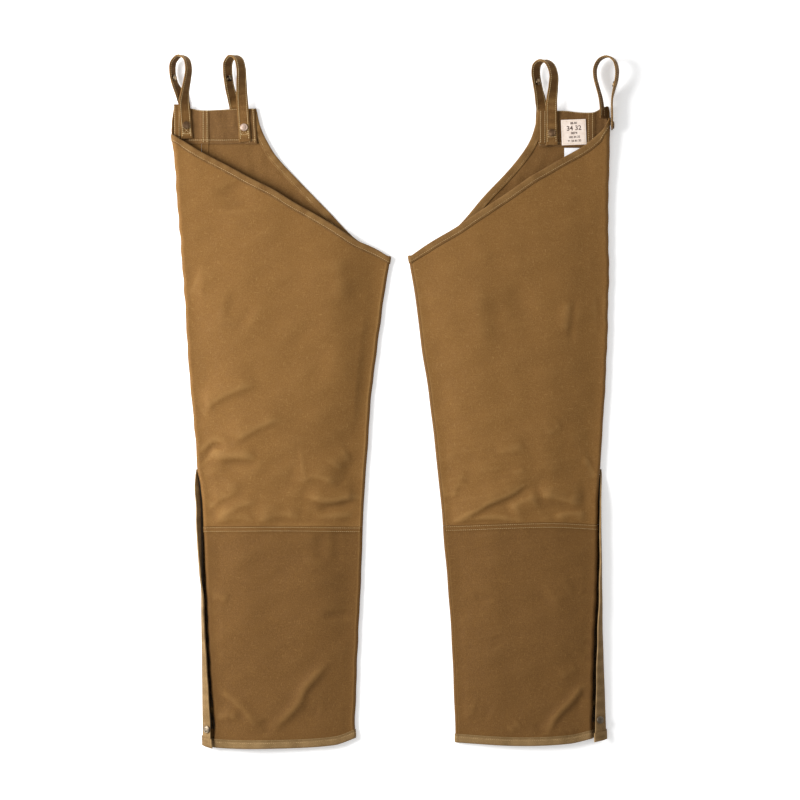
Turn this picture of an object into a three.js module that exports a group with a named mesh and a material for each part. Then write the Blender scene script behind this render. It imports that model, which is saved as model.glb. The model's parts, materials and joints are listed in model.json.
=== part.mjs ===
// A pair of waxed canvas leg chaps, laid flat on a surface.
// Millimetres. +X runs across the pair, +Y towards the waist, +Z up from the surface.
// Each leg is a flattened tube of canvas. It is worked out in its own flat frame of
// w (distance outwards from the middle line between the legs), y and z, and the left leg
// is turned over onto -X at the end.
import * as THREE from "three";

const CANVAS = 1.5; // wall of waxed canvas
const GAP = 0.3; // clearance between sewn pieces
const BINDING = 1.0; // folded binding strip, each side of the edge
const BINDING_DEPTH = 11; // how far the binding reaches in from an edge
const HEM_DEPTH = 12.8;
const FELL = 11.4; // width of a felled seam
const FELL_RAISE = 1.0; // extra canvas in a felled seam
const KNEE_FELL = 9;
const INSEAM_FOLD = 3.2; // radius of the soft turn along the inner edge
const ZIP_TOP = -108; // where the front stops turning under and the zip begins
const FLAP_CANVAS = 1.6;
const TAPE = 1.0;
const TAPE_WIDTH = 13;
const WAIST_LIFT = 4.0; // room under the waist for the loops' tails
const EDGE_LIFT = 1.3; // room under a bound edge for its binding
const STRAP_WIDTH = 18.5;
const STRAP_THICKNESS = 2.4;
const YOKE_HEM = 8;
const YOKE_HEM_RAISE = 0.6;
const YOKE_TURN = 13; // turned-in strip at the yoke's back end
const HALF = CANVAS / 2;

const CANVAS_TAN = "#946C3D";
const CANVAS_DARK = "#7A5831";
const BINDING_TAN = "#97764B";

// outline: the leg at heights y. Its outer edge (the placket's edge below the zip's top), its inner
// edge, the radius of the outer fold, and how far the middle of the front stands up.
// seamLine: the felled seam on the underside, then the back's outer edge along the zip.
// frontEdge, backEdge, waist, knee and hem: cut lines, from the outer side to the inner side.
// flap: the storm flap's free edge and its height.
// creases: soft ridges (or troughs, with a negative rise) on the front.
const LEFT = {
  side: -1,
  name: "left",
  outline: [
    { y: 475, edge: 353, inner: -24, fold: 9.5, loft: 0 },
    { y: 430, edge: 355, inner: -20, fold: 9, loft: 1 },
    { y: 385, edge: 350.5, inner: -14, fold: 7, loft: 3 },
    { y: 310, edge: 345, inner: -5, fold: 5.5, loft: 6 },
    { y: 229, edge: 338.5, inner: 5, fold: 5, loft: 9 },
    { y: 155, edge: 333.5, inner: 16.8, fold: 4.6, loft: 11 },
    { y: 80, edge: 329, inner: 26.4, fold: 4.6, loft: 12 },
    { y: 0, edge: 322.5, inner: 36, fold: 4.6, loft: 12 },
    { y: -75, edge: 315.5, inner: 41, fold: 4.6, loft: 11 },
    { y: -110, edge: 314, inner: 44, fold: 4.6, loft: 10 },
    { y: -138, edge: 308, inner: 45.6, fold: 4.7, loft: 9.5 },
    { y: -165, edge: 305, inner: 47.2, fold: 4.8, loft: 9 },
    { y: -240, edge: 302, inner: 50, fold: 5, loft: 8 },
    { y: -320, edge: 299, inner: 53.6, fold: 5, loft: 8 },
    { y: -395, edge: 295.5, inner: 56.8, fold: 5, loft: 7 },
    { y: -470, edge: 290.5, inner: 60, fold: 5, loft: 6 },
    { y: -515, edge: 287, inner: 61.5, fold: 5, loft: 5 },
    { y: -560, edge: 288.5, inner: 60.5, fold: 5, loft: 4 },
  ],
  frontEdge: [
    { w: 355, y: 426 }, { w: 338, y: 415.5 }, { w: 313, y: 400 }, { w: 288, y: 386.5 },
    { w: 263, y: 373.5 }, { w: 227, y: 354 }, { w: 193, y: 337 }, { w: 161, y: 317 },
    { w: 128, y: 298.5 }, { w: 97, y: 280 }, { w: 60, y: 256 }, { w: 31, y: 243 },
    { w: 5, y: 228 },
  ],
  waist: [{ w: 353, y: 473 }, { w: 330, y: 469 }, { w: 306, y: 464.5 }, { w: 252, y: 467 },
    { w: 220.5, y: 467.5 }],
  backEdge: [
    { w: 220.5, y: 467.5 }, { w: 214.5, y: 440 }, { w: 204, y: 416 }, { w: 188, y: 390 },
    { w: 153, y: 352 }, { w: 105, y: 302.5 }, { w: 63, y: 259.5 }, { w: 31, y: 241 },
    { w: 5, y: 228 },
  ],
  yokeEnd: { w: 222.5, low: 218.5 },
  yokeHem: 411,
  knee: [{ w: 306, y: -200.5 }, { w: 180, y: -199.5 }, { w: 47, y: -201 }],
  hem: [{ w: 304, y: -545.5 }, { w: 289, y: -552 }, { w: 201, y: -554 }, { w: 95, y: -548.5 },
    { w: 59, y: -536.5 }],
  seamLine: [
    { y: 480, w: 307 }, { y: -108, w: 306 }, { y: -116, w: 312 }, { y: -165, w: 307.5 },
    { y: -560, w: 302.5 },
  ],
  flap: [
    { y: -117, free: 316.3, rise: 5 },
    { y: -140, free: 317, rise: 9 },
    { y: -165, free: 316, rise: 12 },
    { y: -240, free: 312.5, rise: 14 },
    { y: -320, free: 303.5, rise: 15.5 },
    { y: -395, free: 299.8, rise: 16 },
    { y: -470, free: 294.5, rise: 16.5 },
    { y: -550, free: 290.5, rise: 16 },
  ],
  creases: [
    { w: 268, y: 22, length: 42, width: 13, turn: -32, rise: 2.2 },
    { w: 255, y: 8, length: 40, width: 16, turn: -30, rise: -1.6 },
    { w: 292, y: -78, length: 26, width: 10, turn: -22, rise: 2.0 },
    { w: 222, y: -98, length: 36, width: 10, turn: 6, rise: 1.5 },
    { w: 215, y: -134, length: 48, width: 19, turn: 4, rise: 3.0 },
    { w: 268, y: -172, length: 34, width: 12, turn: 8, rise: -1.8 },
    { w: 105, y: -168, length: 46, width: 11, turn: 14, rise: -2.0 },
    { w: 100, y: -142, length: 44, width: 14, turn: 10, rise: 1.8 },
    { w: 150, y: -478, length: 70, width: 10, turn: -49, rise: 2.4 },
    { w: 83, y: -338, length: 28, width: 9, turn: 0, rise: 1.6 },
    { w: 252, y: -484, length: 40, width: 12, turn: 40, rise: -1.6 },
  ],
};

const RIGHT = {
  side: 1,
  name: "right",
  outline: [
    { y: 475, edge: 346, inner: -5, fold: 9, loft: 0 },
    { y: 430, edge: 345.5, inner: 0, fold: 9, loft: 1 },
    { y: 385, edge: 345, inner: 5, fold: 7, loft: 3 },
    { y: 310, edge: 343.5, inner: 14, fold: 5.5, loft: 6 },
    { y: 229, edge: 344.5, inner: 24.5, fold: 5, loft: 9 },
    { y: 155, edge: 343.5, inner: 36, fold: 4.6, loft: 11 },
    { y: 80, edge: 341.5, inner: 45.5, fold: 4.6, loft: 12 },
    { y: 0, edge: 337.5, inner: 58, fold: 4.6, loft: 12 },
    { y: -75, edge: 332, inner: 66.5, fold: 4.6, loft: 11 },
    { y: -110, edge: 330.5, inner: 70.5, fold: 4.6, loft: 10 },
    { y: -165, edge: 326.5, inner: 76, fold: 4.8, loft: 9 },
    { y: -240, edge: 326, inner: 82, fold: 5, loft: 8 },
    { y: -320, edge: 323.5, inner: 88.8, fold: 5, loft: 8 },
    { y: -395, edge: 320.5, inner: 93.6, fold: 5, loft: 7 },
    { y: -470, edge: 318.5, inner: 96.5, fold: 5, loft: 6 },
    { y: -515, edge: 317.5, inner: 98.4, fold: 5, loft: 5 },
    { y: -560, edge: 318.5, inner: 98.8, fold: 5, loft: 4 },
  ],
  frontEdge: [
    { w: 346, y: 454 }, { w: 334, y: 432 }, { w: 320, y: 418.5 }, { w: 305, y: 406.5 },
    { w: 268, y: 385.5 }, { w: 243, y: 371 }, { w: 218, y: 356.5 }, { w: 190, y: 336.5 },
    { w: 158, y: 315 }, { w: 128, y: 295 }, { w: 101, y: 276.5 }, { w: 60, y: 252.5 },
    { w: 25, y: 229 },
  ],
  waist: [{ w: 346, y: 472 }, { w: 335, y: 469 }, { w: 317.5, y: 461 }, { w: 275, y: 463.5 },
    { w: 232, y: 464.5 }],
  backEdge: [
    { w: 232, y: 464.5 }, { w: 228, y: 441 }, { w: 220, y: 417 }, { w: 207, y: 395.5 },
    { w: 184, y: 367 }, { w: 146, y: 327 }, { w: 101, y: 276 }, { w: 60, y: 251.5 },
    { w: 25, y: 229 },
  ],
  yokeEnd: { w: 233.5, low: 231.5 },
  yokeHem: 406.5,
  knee: [{ w: 331, y: -197.5 }, { w: 252, y: -193.6 }, { w: 146, y: -196.8 }, { w: 76, y: -199.5 }],
  hem: [{ w: 340, y: -534 }, { w: 324, y: -536.5 }, { w: 281, y: -546 }, { w: 199, y: -549.5 },
    { w: 101, y: -544.5 }],
  seamLine: [
    { y: 480, w: 321 }, { y: -108, w: 323 }, { y: -116, w: 329.5 }, { y: -375, w: 332.5 },
    { y: -560, w: 339 },
  ],
  flap: [
    { y: -117, free: 332.5, rise: 5 },
    { y: -140, free: 331.5, rise: 10 },
    { y: -165, free: 330.5, rise: 13 },
    { y: -240, free: 330, rise: 14 },
    { y: -320, free: 328, rise: 15 },
    { y: -395, free: 325, rise: 16 },
    { y: -470, free: 323, rise: 16.5 },
    { y: -540, free: 322, rise: 16.5 },
  ],
  creases: [
    { w: 290, y: 110, length: 58, width: 9, turn: 84, rise: 1.4 },
    { w: 172, y: -158, length: 62, width: 13, turn: 21, rise: 3.0 },
    { w: 160, y: -138, length: 60, width: 12, turn: 20, rise: -1.8 },
    { w: 252, y: -160, length: 52, width: 16, turn: -24, rise: 3.0 },
    { w: 290, y: -178, length: 36, width: 10, turn: -14, rise: -2.0 },
    { w: 122, y: -70, length: 50, width: 12, turn: 4, rise: 1.4 },
    { w: 120, y: -184, length: 44, width: 8, turn: 3, rise: -1.6 },
    { w: 282, y: -488, length: 52, width: 12, turn: 53, rise: 2.4 },
    { w: 153, y: -241, length: 44, width: 12, turn: 39, rise: -1.6 },
    { w: 240, y: -330, length: 60, width: 20, turn: 25, rise: -1.2 },
  ],
};

// Belt loops: the strap's middle line, and how far its width is rolled from flat (degrees).
LEFT.backLoop = [
  { w: 252, y: 432, z: 1.2, roll: 0 }, { w: 252.5, y: 450, z: 1.2, roll: 0 },
  { w: 253.3, y: 467.5, z: 1.2, roll: 0 }, { w: 253.6, y: 471, z: 1.2, roll: 0 },
  { w: 257, y: 484, z: 5.5, roll: 25 }, { w: 261, y: 498, z: 8.2, roll: 38 },
  { w: 263.5, y: 512, z: 8.8, roll: 41 }, { w: 265, y: 527, z: 9.5, roll: 41 },
  { w: 264, y: 541, z: 12, roll: 41 }, { w: 256, y: 550.5, z: 20, roll: 41 },
  { w: 247, y: 545, z: 28, roll: 41 }, { w: 242.5, y: 529, z: 31, roll: 40 },
  { w: 242, y: 508, z: 27, roll: 34 }, { w: 241.8, y: 488, z: 18.5, roll: 18 },
  { w: 241, y: 472, z: 12.2, roll: 4 }, { w: 240.3, y: 460, z: 10.7, roll: 0 },
  { w: 238.8, y: 437, z: 10.7, roll: 0 }, { w: 237.3, y: 414, z: 10.7, roll: 0 },
];
LEFT.hipLoop = [
  { w: 332, y: 434, z: 1.2, roll: 0 }, { w: 333, y: 455, z: 1.2, roll: 0 },
  { w: 334.5, y: 472.5, z: 1.2, roll: 0 }, { w: 335, y: 476.5, z: 1.2, roll: 0 },
  { w: 339.5, y: 488, z: 6.5, roll: 30 }, { w: 345, y: 498, z: 9.3, roll: 50 },
  { w: 350, y: 510, z: 10, roll: 60 }, { w: 353, y: 526, z: 10.5, roll: 62 },
  { w: 351.5, y: 541, z: 12, roll: 62 }, { w: 341, y: 551, z: 17, roll: 62 },
  { w: 330, y: 545, z: 24, roll: 62 }, { w: 326.3, y: 529, z: 27, roll: 60 },
  { w: 328.6, y: 512, z: 24.5, roll: 58 }, { w: 332.5, y: 493, z: 20, roll: 50 },
  { w: 334, y: 478, z: 15.5, roll: 30 }, { w: 333, y: 461, z: 12, roll: 14 },
  { w: 331.2, y: 437, z: 11.3, roll: 12 }, { w: 330, y: 419, z: 11.3, roll: 12 },
];
RIGHT.backLoop = [
  { w: 236, y: 430, z: 1.2, roll: 0 }, { w: 236.7, y: 448, z: 1.2, roll: 0 },
  { w: 237.3, y: 465, z: 1.2, roll: 0 }, { w: 237.3, y: 468.5, z: 1.2, roll: 0 },
  { w: 235, y: 481, z: 5.2, roll: 25 }, { w: 232.5, y: 493, z: 7.9, roll: 37 },
  { w: 230, y: 506, z: 8.6, roll: 41 }, { w: 227.3, y: 525, z: 9.5, roll: 41 },
  { w: 229.5, y: 537.5, z: 12, roll: 41 }, { w: 239, y: 543.5, z: 21, roll: 41 },
  { w: 249.5, y: 536, z: 29, roll: 41 }, { w: 255, y: 520, z: 31, roll: 40 },
  { w: 254.5, y: 501, z: 26, roll: 34 }, { w: 252.8, y: 483, z: 17, roll: 16 },
  { w: 252.2, y: 469, z: 12, roll: 4 }, { w: 252.2, y: 457, z: 10.7, roll: 0 },
  { w: 252.6, y: 433, z: 10.7, roll: 0 }, { w: 253, y: 409, z: 10.7, roll: 0 },
];
RIGHT.hipLoop = [
  { w: 333, y: 451, z: 17, roll: 66 }, { w: 332.8, y: 466, z: 17, roll: 68 },
  { w: 330.5, y: 484, z: 16.2, roll: 70 }, { w: 326, y: 501, z: 15, roll: 72 },
  { w: 322, y: 518, z: 14, roll: 72 }, { w: 322.5, y: 533, z: 14.5, roll: 72 },
  { w: 330, y: 545.5, z: 16, roll: 72 }, { w: 342, y: 549.5, z: 19, roll: 72 },
  { w: 352, y: 543, z: 21.5, roll: 72 }, { w: 356.5, y: 528, z: 22, roll: 72 },
  { w: 355.5, y: 512, z: 20, roll: 74 }, { w: 351.5, y: 495, z: 16.5, roll: 80 },
  { w: 349, y: 481, z: 13, roll: 87 }, { w: 349, y: 458, z: 12, roll: 88 },
  { w: 349, y: 433, z: 11.6, roll: 88 },
];
// Snaps: how far along the strap's rows each sits. A cap is on the outer face, a stud on the inner.
LEFT.snaps = { back: { cap: 16.0, stud: 6.2 }, hip: { cap: 15.85, stud: 6.4 } };
RIGHT.snaps = { back: { cap: 16.2, stud: 6.2 }, hip: { cap: 13.7, stud: 10.4 } };
LEFT.hemSnap = -524;
RIGHT.hemSnap = -509;
RIGHT.label = { w0: 267.5, w1: 307, y0: 408.5, y1: 449, skew: 1.5 };
RIGHT.careTag = { w0: 273, w1: 305, y0: 350, y1: 404.5 };

const lerp = THREE.MathUtils.lerp;
const clamp = THREE.MathUtils.clamp;
const radians = THREE.MathUtils.degToRad;

// The place of a value in a table: the row before it, and how far it is to the next.
function find(rows, by, value) {
  const rising = rows.at(-1)[by] > rows[0][by] ? 1 : -1;
  const past = rows.findIndex((row) => rising * (row[by] - value) > 0);
  const i = clamp((past < 0 ? rows.length : past) - 1, 0, rows.length - 2);
  const t = clamp((value - rows[i][by]) / (rows[i + 1][by] - rows[i][by]), 0, 1);
  return { i, t };
}

// A value from a table, in straight runs between its rows.
function straight(rows, key, value, by = "y") {
  const { i, t } = find(rows, by, value);
  return lerp(rows[i][key], rows[i + 1][key], t);
}

// A value from a table, on a smooth curve through its rows.
function smooth(rows, key, value, by = "y") {
  const { i, t } = find(rows, by, value);
  const span = rows[i + 1][by] - rows[i][by];
  const slope = (k) => {
    const [p, q] = [rows[Math.max(k - 1, 0)], rows[Math.min(k + 1, rows.length - 1)]];
    return (q[key] - p[key]) / (q[by] - p[by]) * span;
  };
  const [t2, t3] = [t * t, t * t * t];
  return (2 * t3 - 3 * t2 + 1) * rows[i][key] + (t3 - 2 * t2 + t) * slope(i)
    + (3 * t2 - 2 * t3) * rows[i + 1][key] + (t3 - t2) * slope(i + 1);
}

// How far the creases raise the front at (w, y).
function creased(leg, w, y) {
  let rise = 0;
  for (const c of leg.creases) {
    const turn = radians(c.turn);
    const u = (w - c.w) * Math.cos(turn) + (y - c.y) * Math.sin(turn);
    const v = (y - c.y) * Math.cos(turn) - (w - c.w) * Math.sin(turn);
    rise += c.rise * Math.exp(-((v / c.width) ** 2) - (u / c.length) ** 4);
  }
  return rise;
}

// The leg's measures at height y: where its outer fold and inner turn are centred.
function measures(leg, y) {
  const fold = smooth(leg.outline, "fold", y);
  return {
    fold,
    outer: smooth(leg.outline, "edge", y) - HALF - fold,
    inner: smooth(leg.outline, "inner", y) + HALF + INSEAM_FOLD,
    loft: smooth(leg.outline, "loft", y),
    seam: straight(leg.seamLine, "w", y),
  };
}

// The middle of the canvas wall, round the leg at height y. s runs 0-1 over the front from the inner
// seam out, 1-2 round the outer fold, 2-3 under it to the felled seam, 3-4 along the back, and 4-5
// up round the inner edge to the inner seam. lift raises the underside.
function ring(leg, s, y, lift = 0) {
  const { fold, outer, inner, loft, seam } = measures(leg, y);
  if (s <= 1) {
    const w = lerp(inner + GAP, outer, s);
    const crown = THREE.MathUtils.smoothstep(4 * s * (1 - s), 0, 1);
    const z = HALF + lerp(2 * INSEAM_FOLD, 2 * fold, s) + loft * crown
      + creased(leg, w, y) * Math.min(1, 2 * crown);
    return new THREE.Vector3(w, y, z);
  }
  if (s <= 2) {
    const turn = Math.PI * (s - 1);
    const z = HALF + fold * (1 + Math.cos(turn)) + lift * (s - 1);
    return new THREE.Vector3(outer + fold * Math.sin(turn), y, z);
  }
  if (s < 3) return new THREE.Vector3(lerp(outer, seam + GAP / 2, s - 2), y, HALF + lift);
  if (s <= 4) return new THREE.Vector3(lerp(seam - GAP / 2, inner, s - 3), y, HALF + lift);
  const turn = Math.PI * (s - 4);
  const z = HALF + INSEAM_FOLD * (1 - Math.cos(turn)) + lift * (5 - s);
  return new THREE.Vector3(inner - INSEAM_FOLD * Math.sin(turn), y, z);
}

// The s at which the front, or the underside, stands at distance w out.
function frontAt(leg, w, y) {
  const { outer, inner } = measures(leg, y);
  return clamp((w - inner - GAP) / (outer - inner - GAP), 0, 1);
}
function backAt(leg, w, y) {
  const { outer, inner, seam } = measures(leg, y);
  if (w > seam) return 2 + clamp((outer - w) / (outer - seam - GAP / 2), 0, 0.999);
  return 3 + clamp((seam - GAP / 2 - w) / (seam - GAP / 2 - inner), 0, 1);
}

// The wall's outward direction.
function outward(leg, { s, y, lift }) {
  const step = 0.002;
  const across = ring(leg, Math.min(s + step, 5), y, lift)
    .sub(ring(leg, Math.max(s - step, 0), y, lift));
  const up = ring(leg, s, y + 1, lift).sub(ring(leg, s, y - 1, lift));
  return across.cross(up).normalize();
}

// A place on the leg's wall: its middle point and outward direction.
const placed = (leg, station) => ({
  point: ring(leg, station.s, station.y, station.lift),
  normal: outward(leg, station),
});
const off = ({ point, normal }, h) => point.clone().addScaledVector(normal, h);

// A closed solid between two grids of points, grid[column][row]. keep says which cells are there.
function wall(outside, inside, keep = () => true) {
  const rows = outside[0].length;
  const points = [...outside.flat(), ...inside.flat()];
  const depth = outside.length * rows;
  const faces = [];
  const edges = new Set();
  const face = (a, b, c) => {
    faces.push(a, b, c, depth + a, depth + c, depth + b);
    edges.add(a + ">" + b).add(b + ">" + c).add(c + ">" + a);
  };
  for (let c = 0; c < outside.length - 1; c++)
    for (let r = 0; r < rows - 1; r++) {
      if (!keep(c, r)) continue;
      const a = c * rows + r;
      face(a, a + rows, a + rows + 1);
      face(a, a + rows + 1, a + 1);
    }
  for (const edge of edges) {
    const [a, b] = edge.split(">").map(Number);
    if (!edges.has(b + ">" + a)) faces.push(b, a, depth + a, b, depth + a, depth + b);
  }
  return { points, faces };
}

// A wall of even or changing thickness between two offsets from a grid of places.
function shell(places, outer, inner, keep) {
  const layer = (h) => places.map((rows, c) => rows.map((place, r) =>
    off(place, typeof h === "function" ? h(c, r) : h)));
  return wall(layer(outer), layer(inner), keep);
}

// A solid turned about an axis: profile rows are [radius, height]. A ring's profile is closed.
function turned(profile, { point, normal }, ring = false, sides = 14) {
  const facing = new THREE.Quaternion().setFromUnitVectors(new THREE.Vector3(0, 0, 1), normal);
  const at = (radius, height, k) => {
    const turn = (2 * Math.PI * k) / sides;
    return new THREE.Vector3(radius * Math.cos(turn), radius * Math.sin(turn), height)
      .applyQuaternion(facing).add(point);
  };
  const points = [];
  const faces = [];
  for (const [radius, height] of profile)
    for (let k = 0; k < sides; k++) points.push(at(radius, height, k));
  const last = profile.length - (ring ? 0 : 1);
  for (let i = 0; i < last; i++)
    for (let k = 0; k < sides; k++) {
      const [a, b] = [i * sides, ((i + 1) % profile.length) * sides];
      const next = (k + 1) % sides;
      faces.push(a + k, a + next, b + next, a + k, b + next, b + k);
    }
  if (!ring)
    for (const [end, flip] of [[0, true], [profile.length - 1, false]]) {
      const centre = points.push(at(0, profile[end][1], 0)) - 1;
      for (let k = 0; k < sides; k++) {
        const [a, b] = [end * sides + k, end * sides + (k + 1) % sides];
        faces.push(centre, flip ? b : a, flip ? a : b);
      }
    }
  return { points, faces };
}

// A binding folded over an edge: pairs of places, one on the edge and one as deep as it reaches in.
function folded(pairs) {
  const layer = (h, reach) => pairs.map(({ edge, deep }) => {
    const out = edge.point.clone().sub(deep.point).normalize();
    const past = (side) => off(edge, side * h).addScaledVector(out, reach);
    return [off(deep, h), past(1), past(-1), off(deep, -h)];
  });
  return wall(layer(HALF + GAP + BINDING, GAP + BINDING), layer(HALF + GAP, GAP));
}

const group = new THREE.Group();

// Adds a solid as a named mesh. The left leg's points are turned over onto -X, and the faces are
// set to point out.
function add(leg, name, solid, colour, metalness = 0) {
  const position = solid.points.flatMap((p) => [leg.side * p.x, p.y, p.z]);
  const corner = (i) => new THREE.Vector3().fromArray(position, 3 * i);
  let volume = 0;
  for (let i = 0; i < solid.faces.length; i += 3) {
    const [a, b, c] = solid.faces.slice(i, i + 3).map(corner);
    volume += a.dot(b.cross(c));
  }
  const geometry = new THREE.BufferGeometry();
  geometry.setAttribute("position", new THREE.Float32BufferAttribute(position, 3));
  geometry.setIndex(volume > 0 ? solid.faces : solid.faces.toReversed());
  geometry.computeVertexNormals();
  const material = new THREE.MeshStandardMaterial({
    color: colour, metalness, roughness: metalness ? 0.4 : 0.85, flatShading: true,
  });
  const mesh = new THREE.Mesh(geometry, material);
  mesh.name = leg.name + "_" + name;
  group.add(mesh);
}

// The stations down one column of a panel, in straight runs between the given ones.
function column(leg, stations, counts) {
  const rows = [stations[0]];
  counts.forEach((count, k) => {
    const [a, b] = [stations[k], stations[k + 1]];
    for (let i = 1; i <= count; i++)
      rows.push({
        s: lerp(a.s, b.s, i / count),
        y: lerp(a.y, b.y, i / count),
        lift: lerp(a.lift ?? 0, b.lift ?? 0, i / count),
      });
  });
  return rows.map((station) => placed(leg, station));
}

// A point a depth in from point i of a cut line, at right angles to it.
function inward(line, i, depth) {
  const [p, q] = [line[Math.max(i - 1, 0)], line[Math.min(i + 1, line.length - 1)]];
  const length = Math.hypot(q.w - p.w, q.y - p.y);
  return { w: line[i].w - (q.y - p.y) / length * depth, y: line[i].y + (q.w - p.w) / length * depth };
}

const YOKE_FLAT = 402; // the underside is lifted evenly above this height
const FADE_END = 330; // and rests on the surface below this one
const liftAt = (y) => WAIST_LIFT * clamp((y - FADE_END) / (YOKE_FLAT - FADE_END), 0, 1);
const TURN_STEPS = [1.25, 1.5]; // round the upper half of the outer fold
const UNDER_STEPS = [1.75, 2, 2.999]; // its lower half and the strip under it
const INSEAM_STEPS = [4, 4.25, 4.5, 4.75, 5];

const FRONT_ROWS = [1, 3, 2, 10, 6]; // rows between a front column's stations
const BACK_ROWS = [1, 1, 2, 5, 1, 4];

// The front's columns above the knee, from the inner seam over the front and round the outer fold.
function frontColumns(leg) {
  const below = (s, y, lift) => {
    const shoulder = Math.min(y - 25, YOKE_FLAT);
    return [
      { s, y: shoulder, lift }, { s, y: Math.min(FADE_END, shoulder - 45) }, { s, y: ZIP_TOP },
      { s, y: straight(leg.knee, "y", ring(leg, s, -200).x, "w") + GAP / 2 },
    ];
  };
  const edge = leg.frontEdge;
  const columns = [];
  for (let i = edge.length - 1; i > 0; i--) {
    const { w, y } = edge[i];
    if (w > measures(leg, y).outer - 6) continue;
    const deep = inward(edge, i, BINDING_DEPTH);
    const tip = i === edge.length - 1;
    const s = tip ? 0 : frontAt(leg, deep.w, deep.y);
    const top = { s: tip ? 0 : frontAt(leg, w, y), y: tip ? y + 2 : y };
    columns.push({ top, deep: { s, y: deep.y } });
  }
  for (const s of [1, ...TURN_STEPS]) {
    const y = straight(edge, "y", ring(leg, s, edge[0].y).x, "w");
    columns.push({ top: { s, y, lift: liftAt(y) }, deep: { s, y: y - BINDING_DEPTH, lift: liftAt(y) } });
  }
  for (const s of UNDER_STEPS) {
    const y = straight(leg.waist, "y", ring(leg, s, leg.waist[0].y).x, "w");
    columns.push({
      top: { s, y, lift: WAIST_LIFT }, deep: { s, y: y - BINDING_DEPTH, lift: WAIST_LIFT }, under: true,
    });
  }
  return columns.map(({ top, deep, under }) => ({
    s: deep.s,
    under,
    rows: column(leg, [top, deep, ...below(deep.s, deep.y, deep.lift ?? 0)], FRONT_ROWS),
  }));
}

// The back's columns above the knee, from the felled seam to the inner seam.
function backColumns(leg) {
  const corner = leg.backEdge[0];
  const fell = leg.seamLine[0].w - FELL;
  const columns = [];
  const add = (s0, y0, s1, y1, lift) => {
    const shoulder = Math.min(YOKE_FLAT, y1 - 25);
    const fade = Math.min(FADE_END, shoulder - 45);
    columns.push({
      s: s1,
      rows: column(leg, [
        { s: s0, y: y0, lift: Math.max(lift, liftAt(y0)) },
        { s: s1, y: y1, lift: Math.max(lift, liftAt(y1)) },
        { s: s1, y: shoulder, lift: Math.max(lift / 2, liftAt(shoulder)) },
        { s: s1, y: fade }, { s: s1, y: ZIP_TOP }, { s: s1, y: ZIP_TOP - 8 },
        { s: s1, y: straight(leg.knee, "y", ring(leg, s1, -200).x, "w") + GAP / 2 },
      ], BACK_ROWS),
    });
  };
  for (const w of [Infinity, fell, fell - 0.6, lerp(fell, corner.w, 0.4), corner.w + 22]) {
    const s = w === Infinity ? 3 : backAt(leg, w, corner.y);
    const y = straight(leg.waist, "y", ring(leg, s, corner.y).x, "w");
    add(s, y, s, y - BINDING_DEPTH, 0);
  }
  leg.backEdge.slice(0, -1).forEach(({ w, y }, i) => {
    const deep = inward(leg.backEdge, i, BINDING_DEPTH);
    if (i === 0) deep.y = y - BINDING_DEPTH; // the corner is mitred
    add(backAt(leg, w, y), y, backAt(leg, deep.w, deep.y), deep.y, EDGE_LIFT);
  });
  for (const s of INSEAM_STEPS) {
    const y = leg.backEdge.at(-1).y + 2;
    add(s, y, s, y - BINDING_DEPTH, EDGE_LIFT);
  }
  return columns;
}

// Lower panels: the same columns carried on from the knee to the hem.
function lowerColumns(leg, columns, counts, flat) {
  return columns.map(({ s }) => {
    const w = ring(leg, s, -540).x;
    const knee = straight(leg.knee, "y", ring(leg, s, -200).x, "w") - GAP / 2;
    const hem = straight(leg.hem, "y", w, "w");
    const lift = flat ? EDGE_LIFT : 0;
    return column(leg, [
      { s, y: knee }, { s, y: knee - KNEE_FELL }, { s, y: knee - KNEE_FELL - 1.5 },
      { s, y: hem + 45 }, { s, y: hem + HEM_DEPTH, lift }, { s, y: hem, lift },
    ], counts);
  });
}

const edgePairs = (columns) => columns.map(([edge, deep]) => ({ edge, deep }));
const hemPairs = (columns) => columns.map((rows) => ({ edge: rows.at(-1), deep: rows.at(-2) }));

function yoke(leg) {
  const { w, low } = leg.yokeEnd;
  const seam = leg.seamLine[0].w;
  const over = BINDING + GAP; // the yoke's end passes over the binding
  const cuts = [
    { w, low, up: over }, { w: w + YOKE_TURN, low: low + YOKE_TURN, up: over },
    { w: w + YOKE_TURN + 3, up: 0 }, { w: lerp(w, seam, 0.6), up: 0 }, { w: seam - FELL - 0.6, up: 0 },
    { w: seam - FELL, up: FELL_RAISE }, { w: seam, up: FELL_RAISE }, { w: seam + 2.5, up: 0 },
    { s: 2, up: 0 }, { s: 1.75, up: 0 },
  ];
  const columns = cuts.map((cut) => {
    const sAt = (wide, y) => cut.s ?? backAt(leg, wide, y);
    const y = straight(leg.waist, "y", cut.s ? ring(leg, cut.s, 470).x : cut.w, "w");
    const lift = WAIST_LIFT;
    const bottom = cut.low ?? cut.w;
    const hem = leg.yokeHem;
    return column(leg, [
      { s: sAt(cut.w, y), y, lift },
      { s: sAt(lerp(bottom, cut.w, 0.15), hem + YOKE_HEM + 1), y: hem + YOKE_HEM + 1, lift },
      { s: sAt(bottom, hem + YOKE_HEM), y: hem + YOKE_HEM, lift },
      { s: sAt(bottom, hem), y: hem, lift },
    ], [2, 1, 1]);
  });
  const near = (c) => -(HALF + GAP + cuts[c].up);
  return shell(columns, near, (c, r) => near(c) - CANVAS - (r > 2 ? YOKE_HEM_RAISE : 0));
}

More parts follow.
